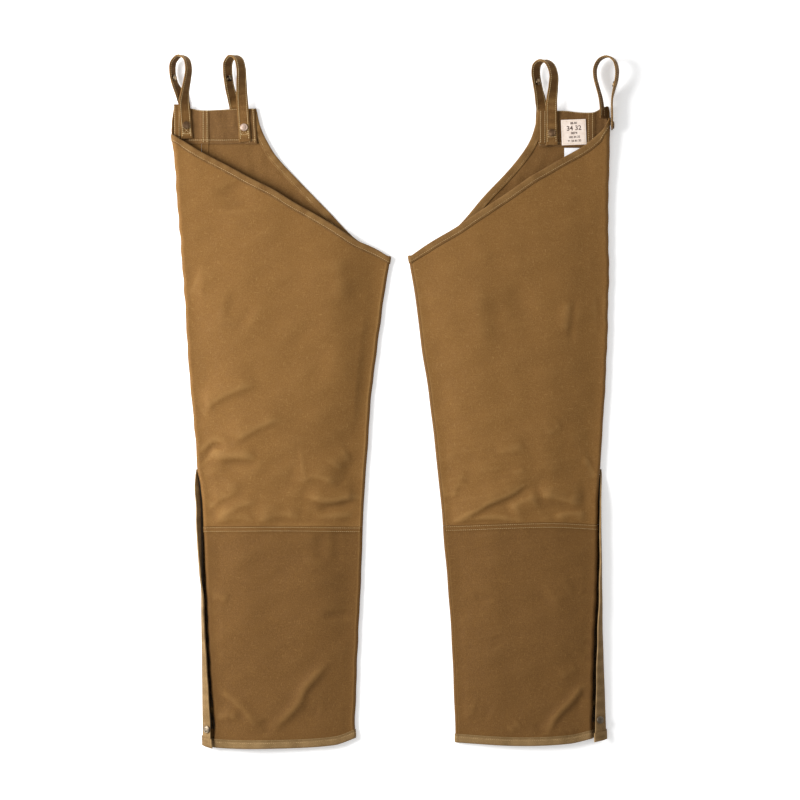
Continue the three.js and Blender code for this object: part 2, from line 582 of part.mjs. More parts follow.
// A strap's place at row r of its route: its middle, along, across and outward directions.
function strapPlace(leg, route, r) {
  const curve = new THREE.CatmullRomCurve3(
    route.map(({ w, y, z }) => new THREE.Vector3(w, y, z)), false, "centripetal");
  const t = r / (route.length - 1);
  const i = Math.min(Math.floor(r), route.length - 2);
  const roll = radians(lerp(route[i].roll, route[i + 1].roll, r - i));
  const point = curve.getPoint(t);
  const tangent = curve.getTangent(t);
  const across = new THREE.Vector3(leg.side * Math.cos(roll), 0, -Math.sin(roll));
  across.addScaledVector(tangent, -tangent.dot(across)).normalize();
  const normal = tangent.clone().cross(across).multiplyScalar(leg.side);
  const resting = (STRAP_WIDTH * Math.abs(across.z) + STRAP_THICKNESS * Math.abs(normal.z)) / 2;
  point.z = Math.max(point.z, resting);
  return { point, normal, across };
}

function strap(leg, route) {
  const steps = 2 * (route.length - 1);
  const places = Array.from({ length: steps + 1 }, (_, k) => {
    const { point, normal, across } = strapPlace(leg, route, k / 2);
    return [-1, 1].map((side) => ({
      point: point.clone().addScaledVector(across, side * STRAP_WIDTH / 2), normal,
    }));
  });
  return shell(places, STRAP_THICKNESS / 2, -STRAP_THICKNESS / 2);
}

const CAP = [[5.9, 0], [5.9, 0.7], [5.2, 1.5], [3.2, 1.95]];
const STUD = [[1.9, 0], [4.7, 0], [4.9, 1.1], [4.2, 2.2], [2.6, 2.2], [2.3, 1.2]];

function snaps(leg, name, route, { cap, stud }) {
  const outer = strapPlace(leg, route, cap);
  outer.point = off(outer, STRAP_THICKNESS / 2 + GAP);
  add(leg, name + "_cap", turned(CAP, outer), "#B09F93", 0.9);
  const inner = strapPlace(leg, route, stud);
  inner.normal.negate();
  inner.point = off(inner, STRAP_THICKNESS / 2 + 2 * GAP);
  add(leg, name + "_stud", turned(STUD, inner, true), "#4A3B2C", 0.9);
}

// The storm flap's places across, at height y: straight up from the back's outer edge, then over.
const FLAP_SHAPE = [{ out: 0, up: 0 }, { out: 0, up: 0.36 }, { out: 0.4, up: 0.76 }, { out: 1, up: 1 }];
function flapRow(leg, y) {
  const root = straight(leg.seamLine, "w", y) + 2 * GAP + FLAP_CANVAS / 2;
  const free = smooth(leg.flap, "free", y);
  const rise = smooth(leg.flap, "rise", y);
  const low = FLAP_CANVAS / 2;
  const points = FLAP_SHAPE.map(({ out, up }) =>
    new THREE.Vector3(lerp(root, free, out), y, lerp(low, rise, up)));
  return points.map((point, i) => {
    const run = points[Math.min(i + 1, 3)].clone().sub(points[i === 1 ? 1 : Math.max(i - 1, 0)]);
    if (i === 1) run.normalize().add(new THREE.Vector3(0, 0, 1));
    return { point, normal: new THREE.Vector3(run.z, 0, -run.x).normalize() };
  });
}

function stormFlap(leg) {
  const [top, bottom] = [leg.flap[0].y, leg.flap.at(-1).y];
  const heights = [];
  for (let i = 0; i <= 16; i++) heights.push(lerp(top, bottom + HEM_DEPTH, i / 16));
  heights.push(bottom);
  const rows = heights.map((y) => flapRow(leg, y));
  add(leg, "storm_flap", shell(rows, FLAP_CANVAS / 2, -FLAP_CANVAS / 2), BINDING_TAN);
  const place = (y) => {
    const [a, b] = flapRow(leg, y).slice(2, 4);
    const run = b.point.clone().sub(a.point);
    const normal = new THREE.Vector3(run.z, 0, -run.x).normalize();
    return { point: a.point.clone().lerp(b.point, 0.25), normal };
  };
  const snap = place(leg.hemSnap);
  snap.point = off(snap, FLAP_CANVAS / 2 + GAP);
  add(leg, "hem_cap", turned(CAP, snap), "#B09F93", 0.9);
}

// The closed zip's middle line, between the placket and the back's outer edge.
function zipLine(leg, y) {
  const edge = smooth(leg.outline, "edge", y);
  return Math.min(edge + 2.5, straight(leg.seamLine, "w", y) - 3.5);
}

function zip(leg) {
  const hem = leg.hem[0].y;
  const low = hem + HEM_DEPTH + 8;
  const lift = (y) => EDGE_LIFT * clamp((hem + 45 - y) / (45 - HEM_DEPTH), 0, 1);
  const level = CANVAS + GAP + TAPE / 2;
  const tape = (name, from, to) => {
    const places = Array.from({ length: 15 }, (_, i) => {
      const y = lerp(ZIP_TOP - 10, low, i / 14);
      return [from(y), to(y)].map((w) => ({
        point: new THREE.Vector3(w, y, level + lift(y)), normal: new THREE.Vector3(0, 0, 1),
      }));
    });
    add(leg, name, shell(places, TAPE / 2, -TAPE / 2), "#3A2C1C");
  };
  tape("zip_tape_front", (y) => zipLine(leg, y) - TAPE_WIDTH, (y) => zipLine(leg, y) - GAP / 2);
  tape("zip_tape_back", (y) => zipLine(leg, y) + GAP / 2,
    (y) => Math.min(zipLine(leg, y) + TAPE_WIDTH, straight(leg.seamLine, "w", y) - 2 * GAP));

  const y = hem + 52;
  const shape = new THREE.Shape([[3.2, -5], [4.2, 1], [3.4, 5], [-3.4, 5], [-4.2, 1], [-3.2, -5]]
    .map(([u, v]) => new THREE.Vector2(u, v)));
  const slider = new THREE.ExtrudeGeometry(shape, { depth: 1.9, bevelEnabled: false })
    .translate(zipLine(leg, y), y, level + TAPE / 2 + GAP);
  const corners = slider.getAttribute("position");
  const points = [];
  for (let i = 0; i < corners.count; i++)
    points.push(new THREE.Vector3().fromBufferAttribute(corners, i));
  add(leg, "zip_slider", { points, faces: points.map((_, i) => i) }, "#8A7A5C", 0.9);
}

function label(leg, { w0, w1, y0, y1, skew }) {
  const z = WAIST_LIFT + 2 * CANVAS + 2 * GAP + YOKE_HEM_RAISE;
  const flat = (w, y) => ({ point: new THREE.Vector3(w, y, z + 0.5), normal: new THREE.Vector3(0, 0, 1) });
  const places = [[flat(w0, y1), flat(w0 + skew, y0)], [flat(w1, y1 + skew), flat(w1 + skew, y0 + skew)]];
  add(leg, "label", shell(places, 0.5, -0.5), "#D9CBBF");
}

function careTag(leg, { w0, w1, y0, y1 }) {
  const places = [w0, w1].map((w) => [y1, YOKE_FLAT, y0].map((y) =>
    placed(leg, { s: backAt(leg, w, y), y, lift: liftAt(y) })));
  add(leg, "care_tag", shell(places, -(HALF + GAP), -(HALF + GAP + 1)), "#E8E8EA");
}

for (const leg of [LEFT, RIGHT]) {
  const front = frontColumns(leg);
  const back = backColumns(leg);
  const over = front.filter((c) => !c.under);
  const shin = lowerColumns(leg, over, [1, 1, 13, 2, 1], false);
  const calf = lowerColumns(leg, back, [1, 1, 5, 1, 1], true);
  const frontRows = front.map((c) => c.rows);
  const backRows = back.map((c) => c.rows);
  const rowsTo = (counts, stations) => counts.slice(0, stations).reduce((a, b) => a + b);
  const zipRow = rowsTo(FRONT_ROWS, 4);
  const fellEnd = rowsTo(BACK_ROWS, 4);
  add(leg, "front_thigh", shell(frontRows, HALF, -HALF, (c, r) => c < over.length - 1 || r < zipRow),
    CANVAS_TAN);
  add(leg, "front_shin", shell(shin, (c, r) => HALF + (r < 2 ? 0.7 : 0), -HALF), CANVAS_DARK);
  add(leg, "back_thigh", shell(backRows, HALF, (c, r) =>
    -HALF - (c < 2 && r <= fellEnd ? FELL_RAISE : 0)), CANVAS_TAN);
  add(leg, "back_calf", shell(calf, HALF, -HALF), CANVAS_DARK);
  add(leg, "front_binding", folded(edgePairs(over.map((c) => c.rows))), BINDING_TAN);
  add(leg, "back_binding", folded(edgePairs(backRows.slice(5))), BINDING_TAN);
  add(leg, "front_hem_binding", folded(hemPairs(shin)), BINDING_TAN);
  add(leg, "back_hem_binding", folded(hemPairs(calf)), BINDING_TAN);
  add(leg, "yoke", yoke(leg), CANVAS_DARK);
  add(leg, "back_loop", strap(leg, leg.backLoop), BINDING_TAN);
  add(leg, "hip_loop", strap(leg, leg.hipLoop), BINDING_TAN);
  snaps(leg, "back", leg.backLoop, leg.snaps.back);
  snaps(leg, "hip", leg.hipLoop, leg.snaps.hip);
  stormFlap(leg);
  zip(leg);
  if (leg.label) label(leg, leg.label);
  if (leg.careTag) careTag(leg, leg.careTag);
}

// The origin is the middle of the whole footprint, on the surface.
group.position.set(-0.98, 1.43, 0);

export default group;
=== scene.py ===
import json
import math

import bmesh
import bpy
import numpy as np
from bpy.props import FloatProperty, FloatVectorProperty, PointerProperty
from mathutils import Matrix, Vector

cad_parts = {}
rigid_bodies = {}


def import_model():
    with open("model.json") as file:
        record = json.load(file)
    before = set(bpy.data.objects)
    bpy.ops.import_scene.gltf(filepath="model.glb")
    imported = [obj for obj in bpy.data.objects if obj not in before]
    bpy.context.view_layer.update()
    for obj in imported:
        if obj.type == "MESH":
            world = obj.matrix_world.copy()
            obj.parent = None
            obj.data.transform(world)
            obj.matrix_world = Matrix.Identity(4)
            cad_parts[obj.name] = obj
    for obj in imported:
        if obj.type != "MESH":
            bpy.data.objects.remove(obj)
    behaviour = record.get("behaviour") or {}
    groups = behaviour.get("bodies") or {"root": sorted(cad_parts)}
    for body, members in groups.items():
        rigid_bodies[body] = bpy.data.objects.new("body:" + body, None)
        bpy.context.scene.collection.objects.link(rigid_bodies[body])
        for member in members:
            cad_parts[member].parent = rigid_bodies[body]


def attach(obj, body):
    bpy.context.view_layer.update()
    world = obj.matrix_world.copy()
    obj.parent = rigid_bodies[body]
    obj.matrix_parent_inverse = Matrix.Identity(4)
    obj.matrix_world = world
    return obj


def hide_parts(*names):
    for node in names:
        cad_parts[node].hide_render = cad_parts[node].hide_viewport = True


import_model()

bl_info = {
    "name": "Canvas Leg Chaps",
    "version": (1, 0, 0),
    "blender": (4, 5, 0),
    "location": "View3D > Sidebar > Chaps",
    "description": "Builds a pair of waxed canvas leg chaps laid flat on a pale floor",
    "category": "Object",
}

# Lengths in the tables and helpers are in millimetres. Each leg is worked out in its own frame:
# w outwards from the middle line between the legs, y towards the waist, z up from the surface.
# Snaps, sliders and teeth are modelled at the origin in metres, and then put in their places.
MM = 0.001
CENTRE = (-0.98, 1.43)  # moves the pair's middle onto the origin
UP = np.array([0.0, 0.0, 1.0])

HALF = 0.75  # half of the canvas wall
GAP = 0.3  # air between two pieces
BINDING = 1.0  # thickness of a binding's cloth
BINDING_DEPTH = 11.0  # from a bound edge to the binding's own edge
HEM_DEPTH = 12.8  # the same at the hem
HEM_FADE = 45.0  # a hem's room has faded out this far above it
FELL = 11.4  # width of the felled seam inside the back
FELL_RAISE = 1.0
KNEE_FELL = 9.0  # width of the felled band below the knee seam
KNEE_RAISE = 0.7
KNEE_LEVEL = -199.5
INSEAM_FOLD = 3.2  # radius of the fold at the inner edge
ZIP_TOP = -108.0
SLIDER_RISE = 52.0  # from the end of the hem to the slider
FOLD_TOP = 425.0  # where the front's bound edge meets the outer fold
WAIST_LEVEL = 465.0
SEAM_TOP = 470.0
WAIST_LIFT = 4.0  # room under the back at the waist, where the yoke lies
EDGE_LIFT = 1.3  # room under the back's bound edges
YOKE_FLAT = 402.0  # above this the back has all of its room
FADE_END = 330.0  # below this it has none
YOKE_TURN = 13.0  # width of the yoke's turned-in end
YOKE_HEM = 8.0  # width of the hem along its lower edge
STRAP_WIDTH = 18.5
STRAP_THICKNESS = 2.4
ROOT_WIDTH = 10.2  # the part of a strap's start that shows beside its tail
ROOT_LEVEL = 10.5
FLAP_CANVAS = 1.6
HEM_SNAP_SHARE = 0.75  # from the flap's root to its free edge
TAPE_WIDTH = 13.0
TAPE_APART = 0.9  # from the zip's middle to a tape
TAPE_HALF = 0.3
TEETH_RISE = 0.5
TOOTH_PITCH = 2.1
SLIDER_PLATE = 1.7

# Leg outline: y, outer edge, inner edge, radius of the outer fold, how far the front stands up.
LEFT_OUTLINE = [
    (475, 353, -24, 9.5, 0), (430, 355, -20, 9, 1), (385, 350.5, -14, 7, 3), (310, 345, -5, 5.5, 6),
    (229, 338.5, 5, 5, 9), (155, 333.5, 16.8, 4.6, 11), (80, 329, 26.4, 4.6, 12),
    (0, 322.5, 36, 4.6, 12), (-75, 315.5, 41, 4.6, 11), (-110, 314, 44, 4.6, 10),
    (-138, 308, 45.6, 4.7, 9.5), (-165, 305, 47.2, 4.8, 9), (-240, 302, 50, 5, 8),
    (-320, 299, 53.6, 5, 8), (-395, 295.5, 56.8, 5, 7), (-470, 290.5, 60, 5, 6),
    (-515, 287, 61.5, 5, 5), (-560, 288.5, 60.5, 5, 4),
]
RIGHT_OUTLINE = [
    (475, 346, -5, 9, 0), (430, 345.5, 0, 9, 1), (385, 345, 5, 7, 3), (310, 343.5, 14, 5.5, 6),
    (229, 344.5, 24.5, 5, 9), (155, 343.5, 36, 4.6, 11), (80, 341.5, 45.5, 4.6, 12),
    (0, 337.5, 58, 4.6, 12), (-75, 332, 66.5, 4.6, 11), (-110, 330.5, 70.5, 4.6, 10),
    (-165, 326.5, 76, 4.8, 9), (-240, 326, 82, 5, 8), (-320, 323.5, 88.8, 5, 8),
    (-395, 320.5, 93.6, 5, 7), (-470, 318.5, 96.5, 5, 6), (-515, 317.5, 98.4, 5, 5),
    (-560, 318.5, 98.8, 5, 4),
]

# Folds on a front: height (below 0 for a hollow), softness on the waist side and on the hem side,
# then the places (w, y) that it runs through.
LEFT_FOLDS = [
    (2.6, 40, 40, (106, 290), (96, 200), (88, 100), (84, 0), (92, -70)),
    (-1.6, 22, 22, (262, 352), (254, 328), (250, 300)),
    (-1.2, 14, 14, (338, 205), (326, 197), (314, 192)),
    (-1.2, 20, 20, (275, 152), (250, 146), (222, 130)),
    (-1.1, 28, 28, (170, 110), (130, 78), (92, 60)),
    (0.7, 16, 16, (330, 160), (318, 186), (292, 222)),
    (1.2, 14, 14, (95, 235), (86, 195), (82, 150)),
    (2.0, 16, 6, (312, -16), (292, -2), (268, 12), (240, 23), (212, 29)),
    (1.0, 10, 6, (309, -21), (298, -14), (286, -9)),
    (1.9, 15, 6, (262, -67), (246, -57), (224, -44), (198, -32), (174, -25)),
    (-2.2, 5, 5, (314, -101), (305, -88), (297, -80), (288, -73), (278, -72), (266, -78)),
    (2.2, 9, 6, (296, -92), (270, -87), (244, -87), (216, -91)),
    (-1.1, 4, 7, (278, -100), (254, -98), (234, -98), (212, -100)),
    (2.2, 20, 9, (166, -120), (146, -122), (128, -118), (104, -124), (84, -136)),
    (1.3, 12, 8, (96, -111), (84, -97), (66, -86)),
    (2.3, 13, 5, (146, -149), (116, -157), (94, -158), (74, -154), (46, -152)),
    (-1.3, 5, 9, (126, -174), (104, -171), (84, -166), (60, -163)),
    (1.3, 8, 6, (132, -185), (104, -183), (78, -181), (54, -184)),
    (1.9, 16, 8, (222, -192), (198, -182), (172, -179), (144, -184)),
    (1.3, 12, 6, (304, -180), (284, -160), (262, -148), (238, -141)),
    (1.2, 12, 6, (286, -188), (262, -174), (238, -163), (212, -158)),
    (1.1, 7, 6, (290, -190), (266, -185), (244, -184), (218, -190)),
    (1.3, 10, 6, (295, -316), (278, -312), (262, -319)),
    (-0.8, 6, 6, (117, -345), (100, -342), (76, -340), (54, -337)),
    (1.2, 7, 6, (288, -456), (266, -470), (246, -486), (232, -502), (216, -524)),
    (2.0, 7, 6, (198, -534), (185, -516), (166, -498), (153, -482), (141, -458), (126, -440),
     (108, -420), (92, -411)),
    (1.4, 9, 5, (290, -507), (266, -502), (244, -506)),
    (-1.2, 7, 7, (209, -505), (205, -518), (202, -535)),
    (-1.0, 10, 10, (146, -486), (134, -492), (116, -495)),
    (-0.7, 9, 9, (118, -203), (117, -230), (119, -262)),
    (-0.6, 8, 8, (92, -203), (91, -230), (90, -262)),
]
RIGHT_FOLDS = [
    (-0.55, 4.5, 4.5, (290, 173), (288, 154), (285, 130), (283, 106), (287, 86)),
    (1.0, 10, 10, (278, 165), (276, 135), (272, 105)),
    (1.0, 16, 16, (136, 200), (139, 160), (141, 120), (139, 76)),
    (-0.7, 3.5, 3.5, (327, 180), (329, 150), (330, 104)),
    (-1.2, 18, 18, (196, 195), (200, 160), (210, 120)),
    (0.8, 8, 6, (240, -52), (256, -44), (270, -36)),
    (0.9, 7, 6, (160, -83), (186, -77), (214, -72)),
    (0.9, 5, 5, (188, -117), (198, -112), (210, -108)),
    (-0.9, 7, 7, (120, -108), (118, -122), (114, -136)),
    (3.0, 16, 5, (84, -197), (106, -187), (129, -175), (150, -163), (170, -154), (190, -145),
     (208, -133), (226, -127)),
    (2.4, 10, 16, (180, -178), (212, -160), (236, -148)),
    (2.4, 14, 7, (226, -146), (258, -152), (282, -158), (308, -163)),
    (1.6, 6, 8, (252, -187), (282, -180), (316, -184)),
    (1.8, 8, 4.5, (88, -193), (122, -188), (146, -185), (182, -187), (214, -191)),
    (1.5, 10, 6, (74, -149), (90, -146), (106, -149)),
    (1.2, 4, 5, (304, -86), (314, -106), (322, -127)),
    (0.9, 16, 10, (244, -324), (268, -308), (292, -296)),
    (-0.8, 7, 7, (300, -300), (310, -306), (322, -310)),
    (-0.9, 8, 8, (128, -318), (146, -312), (154, -322)),
    (-0.9, 10, 10, (160, -372), (164, -382), (170, -392)),
    (-1.8, 5, 5, (303, -380), (311, -385), (322, -389)),
    (-1.8, 5, 5, (304, -408), (312, -411), (322, -415)),
    (0.7, 8, 6, (262, -442), (278, -433), (296, -422)),
    (-2.0, 6, 6, (300, -474), (310, -469), (322, -466)),
    (2.0, 5.5, 5, (243, -537), (255, -510), (270, -492), (284, -478), (298, -460), (312, -440)),
    (-1.0, 14, 14, (126, -486), (142, -492), (158, -500)),
    (1.0, 6, 6, (182, -530), (192, -520), (204, -512)),
    (-1.0, 6, 6, (228, -510), (232, -524), (236, -536)),
    (0.6, 6, 6, (276, -530), (288, -522), (302, -516)),
]

LEFT_LEG = {
    "name": "left", "side": -1, "outline": LEFT_OUTLINE, "folds": LEFT_FOLDS,
    "front_cut": [(5, 228), (31, 243), (60, 256), (97, 280), (128, 298.5), (161, 317), (193, 337),
                  (227, 354), (263, 373.5), (288, 386.5), (313, 400), (338, 415.5), (355, 426)],
    "back_cut": [(5, 228), (31, 241), (63, 259.5), (105, 302.5), (153, 352), (188, 390), (204, 416),
                 (214.5, 440), (220.5, 467.5)],
    "waist": [(220.5, 467.5), (252, 467), (306, 464.5), (330, 469), (353, 473)],
    "knee": [(47, -201), (180, -199.5), (306, -200.5)],
    "hem": [(59, -536.5), (95, -548.5), (201, -554), (289, -552), (304, -545.5)],
    "seam": [(480, 307), (-108, 306), (-116, 312), (-165, 307.5), (-560, 302.5)],
    "flap": [(-109, 315.8, 4.2), (-140, 317, 9), (-165, 316, 12), (-240, 312.5, 14), (-320, 303.5, 15.5),
             (-395, 299.8, 16), (-470, 294.5, 16.5), (-550, 290.5, 16)],
    "yoke_end": (222.5, 218.5), "yoke_hem": 411, "hem_snap": -524,
    "loop_root": (345.7, 474.0, 417.0),
    "back_loop": [
        (252, 432, 1.2, 0), (252.5, 450, 1.2, 0), (253.3, 467.5, 1.2, 0), (253.6, 471, 1.2, 0),
        (257, 484, 5.5, 25), (261, 498, 8.2, 38), (263.5, 512, 8.8, 41), (265, 527, 9.5, 41),
        (264, 541, 12, 41), (256, 550.5, 20, 41), (247, 545, 28, 41), (242.5, 529, 31, 40),
        (242, 508, 27, 34), (241.8, 488, 18.5, 18), (241, 472, 12.2, 4), (240.3, 460, 10.7, 0),
        (238.8, 437, 10.7, 0), (237.3, 414, 10.7, 0)],
    "hip_loop": [
        (332, 434, 1.2, 0), (333, 455, 1.2, 0), (334.5, 472.5, 1.2, 0), (335, 476.5, 1.2, 0),
        (339.5, 488, 6.5, 30), (345, 498, 9.3, 50), (350, 510, 10, 60), (353, 526, 10.5, 62),
        (351.5, 541, 12, 62), (341, 551, 17, 62), (330, 545, 24, 62), (326.3, 529, 27, 60),
        (328.6, 512, 24.5, 58), (332.5, 493, 20, 50), (334, 478, 15.5, 30), (333, 461, 12, 14),
        (331.2, 437, 11.3, 12), (330, 419, 11.3, 12)],
    "snaps": {"back": (16.0, 6.2), "hip": (15.85, 6.4)},
}
RIGHT_LEG = {
    "name": "right", "side": 1, "outline": RIGHT_OUTLINE, "folds": RIGHT_FOLDS,
    "front_cut": [(25, 229), (60, 252.5), (101, 276.5), (128, 295), (158, 315), (190, 336.5),
                  (218, 356.5), (243, 371), (268, 385.5), (305, 406.5), (320, 418.5), (334, 432),
                  (346, 454)],
    "back_cut": [(25, 229), (60, 251.5), (101, 276), (146, 327), (184, 367), (207, 395.5), (220, 417),
                 (228, 441), (232, 464.5)],
    "waist": [(232, 464.5), (275, 463.5), (317.5, 461), (335, 469), (346, 472)],
    "knee": [(76, -199.5), (146, -196.8), (252, -193.6), (331, -197.5)],
    "hem": [(101, -544.5), (199, -549.5), (281, -546), (324, -536.5), (340, -534)],
    "seam": [(480, 321), (-108, 323), (-116, 329.5), (-375, 332.5), (-560, 339)],
    "flap": [(-109, 332.6, 4.2), (-140, 331.5, 10), (-165, 330.5, 13), (-240, 330, 14), (-320, 328, 15),
             (-395, 325, 16), (-470, 323, 16.5), (-540, 322, 16.5)],
    "yoke_end": (233.5, 231.5), "yoke_hem": 406.5, "hem_snap": -509,
    "loop_root": (238.4, 466.0, 410.0),
    "back_loop": [
        (236, 430, 1.2, 0), (236.7, 448, 1.2, 0), (237.3, 465, 1.2, 0), (237.3, 468.5, 1.2, 0),
        (235, 481, 5.2, 25), (232.5, 493, 7.9, 37), (230, 506, 8.6, 41), (227.3, 525, 9.5, 41),
        (229.5, 537.5, 12, 41), (239, 543.5, 21, 41), (249.5, 536, 29, 41), (255, 520, 31, 40),
        (254.5, 501, 26, 34), (252.8, 483, 17, 16), (252.2, 469, 12, 4), (252.2, 457, 10.7, 0),
        (252.6, 433, 10.7, 0), (253, 409, 10.7, 0)],
    "hip_loop": [
        (333, 451, 17, 66), (332.8, 466, 17, 68), (330.5, 484, 16.2, 70), (326, 501, 15, 72),
        (322, 518, 14, 72), (322.5, 533, 14.5, 72), (330, 545.5, 16, 72), (342, 549.5, 19, 72),
        (352, 543, 21.5, 72), (356.5, 528, 22, 72), (355.5, 512, 20, 74), (351.5, 495, 16.5, 80),
        (349, 481, 13, 87), (349, 458, 12, 88), (349, 433, 11.6, 88)],
    "snaps": {"back": (16.2, 6.2), "hip": (13.7, 10.4)},
}
LABEL = {"w": (267.5, 307), "y": (408.5, 449), "skew": 1.5, "tilt": 4}
# Sizes woven into the label: the numbers, their height in metres, the share of the label down to them.
LABEL_NUMBERS = (
    ("86 81", 0.0048, 0.2), ("34 32", 0.0105, 0.44), ("0034", 0.005, 0.6),
    ("102 34 32", 0.0045, 0.74), ("86 34 81 32", 0.0045, 0.88),
)
CARE_TAG = {"w": (273, 305), "y": (350, 404.5)}

# The stage, in metres and watts. One broad lamp from the left, a pale sky, and a floor that glows a
# little, so that it comes out white. The camera looks straight down.
KEY_PLACE = (-2.1, 0.45, 1.32)
KEY_WIDTH = 1.5
KEY_POWER = 122
SKY_STRENGTH = 0.6
FLOOR_GLOW = 0.28
EYE_HEIGHT = 6.0
VIEW_WIDTH = 1.28
VIEW_MIDDLE = (0.00942, 0.00303)


# ---------------------------------------------------------------- numbers


def lerp(a, b, t):
    return a + (b - a) * t


def smoothstep(x):
    x = np.clip(x, 0, 1)
    return x * x * (3 - 2 * x)


def unit(v):
    return v / np.maximum(np.linalg.norm(v, axis=-1, keepdims=True), 1e-9)


class Curve:
    """A line through (place, value) pairs, level beyond its ends. Smooth unless straight is set."""

    def __init__(self, pairs, straight=False):
        pairs = sorted(pairs)
        self.at = np.array([p[0] for p in pairs], float)
        self.value = np.array([p[1] for p in pairs], float)
        k = np.arange(len(pairs))
        low, high = np.maximum(k - 1, 0), np.minimum(k + 1, len(pairs) - 1)
        self.slope = (self.value[high] - self.value[low]) / (self.at[high] - self.at[low])
        self.straight = straight

    def __call__(self, x):
        x = np.clip(np.asarray(x, float), self.at[0], self.at[-1])
        i = np.clip(np.searchsorted(self.at, x, side="right") - 1, 0, len(self.at) - 2)
        span = self.at[i + 1] - self.at[i]
        t = (x - self.at[i]) / span
        if self.straight:
            return lerp(self.value[i], self.value[i + 1], t)
        t2, t3 = t * t, t * t * t
        return (
            (2 * t3 - 3 * t2 + 1) * self.value[i]
            + (t3 - 2 * t2 + t) * self.slope[i] * span
            + (3 * t2 - 2 * t3) * self.value[i + 1]
            + (t3 - t2) * self.slope[i + 1] * span
        )


class CutLine:
    """A cut edge in (w, y), measured along itself from its inner end."""

    def __init__(self, points):
        p = np.array(points, float)
        along = np.concatenate([[0], np.cumsum(np.linalg.norm(np.diff(p, axis=0), axis=1))])
        self.length = along[-1]
        self.w = Curve(list(zip(along, p[:, 0])))
        self.y = Curve(list(zip(along, p[:, 1])))

    def inward(self, u):
        dw = self.w(u + 1) - self.w(u - 1)
        dy = self.y(u + 1) - self.y(u - 1)
        size = np.hypot(dw, dy)
        return dy / size, -dw / size


def swell(w, y, length, seed):
    """An uneven swell of about unit height, with waves of about the given length."""
    random = np.random.default_rng(seed)
    total = 0
    for _ in range(8):
        turn, phase = random.uniform(0, 2 * math.pi, 2)
        k = 2 * math.pi / (length * random.uniform(0.65, 1.5))
        total = total + np.sin(k * (w * math.cos(turn) + y * math.sin(turn)) + phase)
    return total / 2.8


class Relief:
    """Heights of a front's folds and swells, kept on an even grid over the leg."""

    STEP = 1.5
    LOW = (-6.0, -566.0)
    HIGH = (368.0, 486.0)
    RISE = 1.6  # folds stand this much higher than their tables say, to show under soft light

    def __init__(self, folds, seed):
        w, y = (np.arange(a, b, self.STEP) for a, b in zip(self.LOW, self.HIGH))
        self.w, self.y = np.meshgrid(w, y, indexing="ij")
        knee = np.exp(-(((self.y + 130) / 90) ** 2))
        self.height = (
            0.9 * swell(self.w, self.y * 0.8, 170, seed + 2)
            + (0.3 + 0.25 * knee) * swell(self.w, self.y * 1.3, 62, seed + 3)
            + (0.04 + 0.07 * knee) * swell(self.w * 0.8, self.y * 1.5, 24, seed + 4)
        )
        for rise, waist_side, hem_side, *path in folds:
            self.add(rise, waist_side, hem_side, np.array(path, float))
        self.height *= 0.3 + 0.7 * smoothstep(np.abs(self.y - KNEE_LEVEL) / KNEE_FELL)
        # How far each place stands above or below its neighbours, kept as a tone: ridges paler, partly rubbed
        # wear and partly a painted highlight; hollows darker, painted shade.
        far = 4
        around = sum(np.roll(self.height, (i * far, j * far), (0, 1))
                     for i, j in ((1, 0), (-1, 0), (0, 1), (0, -1))) / 4
        self.worn = np.clip((self.height - around) / 0.5, -1, 1)

    def add(self, rise, waist_side, hem_side, path):
        """Adds one fold. Its soft flank is drawn out further than its steep one."""
        along = lengths_along(path)
        fine = np.linspace(0, along[-1], 5 * len(path))
        line = np.stack([Curve(list(zip(along, path[:, k])))(fine) for k in (0, 1)], -1)
        broad, sharp = max(waist_side, hem_side), min(waist_side, hem_side)
        waist_side, hem_side = (
            1.5 * side if side == broad > sharp else 1.1 * side + 0.8 for side in (waist_side, hem_side))
        reach = 3 * max(waist_side, hem_side)
        box = ((self.w > line[:, 0].min() - reach) & (self.w < line[:, 0].max() + reach)
               & (self.y > line[:, 1].min() - reach) & (self.y < line[:, 1].max() + reach))
        p = np.stack([self.w[box], self.y[box]], -1)[:, None]
        start, run = line[:-1], np.diff(line, axis=0)
        t = np.clip(((p - start) * run).sum(-1) / (run**2).sum(-1), 0, 1)
        gap = p - start - t[..., None] * run
        distance = np.linalg.norm(gap, axis=-1)
        k = distance.argmin(1)
        row = np.arange(len(k))
        place = (k + t[row, k]) / len(run)
        soft = np.where(gap[row, k, 1] > 0, waist_side, hem_side)
        ends = smoothstep(place / 0.3) * smoothstep((1 - place) / 0.3) * min(1.0, along[-1] / 55)
        self.height[box] += self.RISE * rise * ends * np.exp(-((distance[row, k] / soft) ** 2))

    def at(self, table, w, y):
        """Reads one of the tables at any place, between its grid's own."""
        u = np.clip((w - self.LOW[0]) / self.STEP, 0, table.shape[0] - 1.001)
        v = np.clip((y - self.LOW[1]) / self.STEP, 0, table.shape[1] - 1.001)
        i, j = u.astype(int), v.astype(int)
        u, v = u - i, v - j
        low = table[i, j] * (1 - u) + table[i + 1, j] * u
        high = table[i, j + 1] * (1 - u) + table[i + 1, j + 1] * u
        return low * (1 - v) + high * v


# ---------------------------------------------------------------- a leg's form


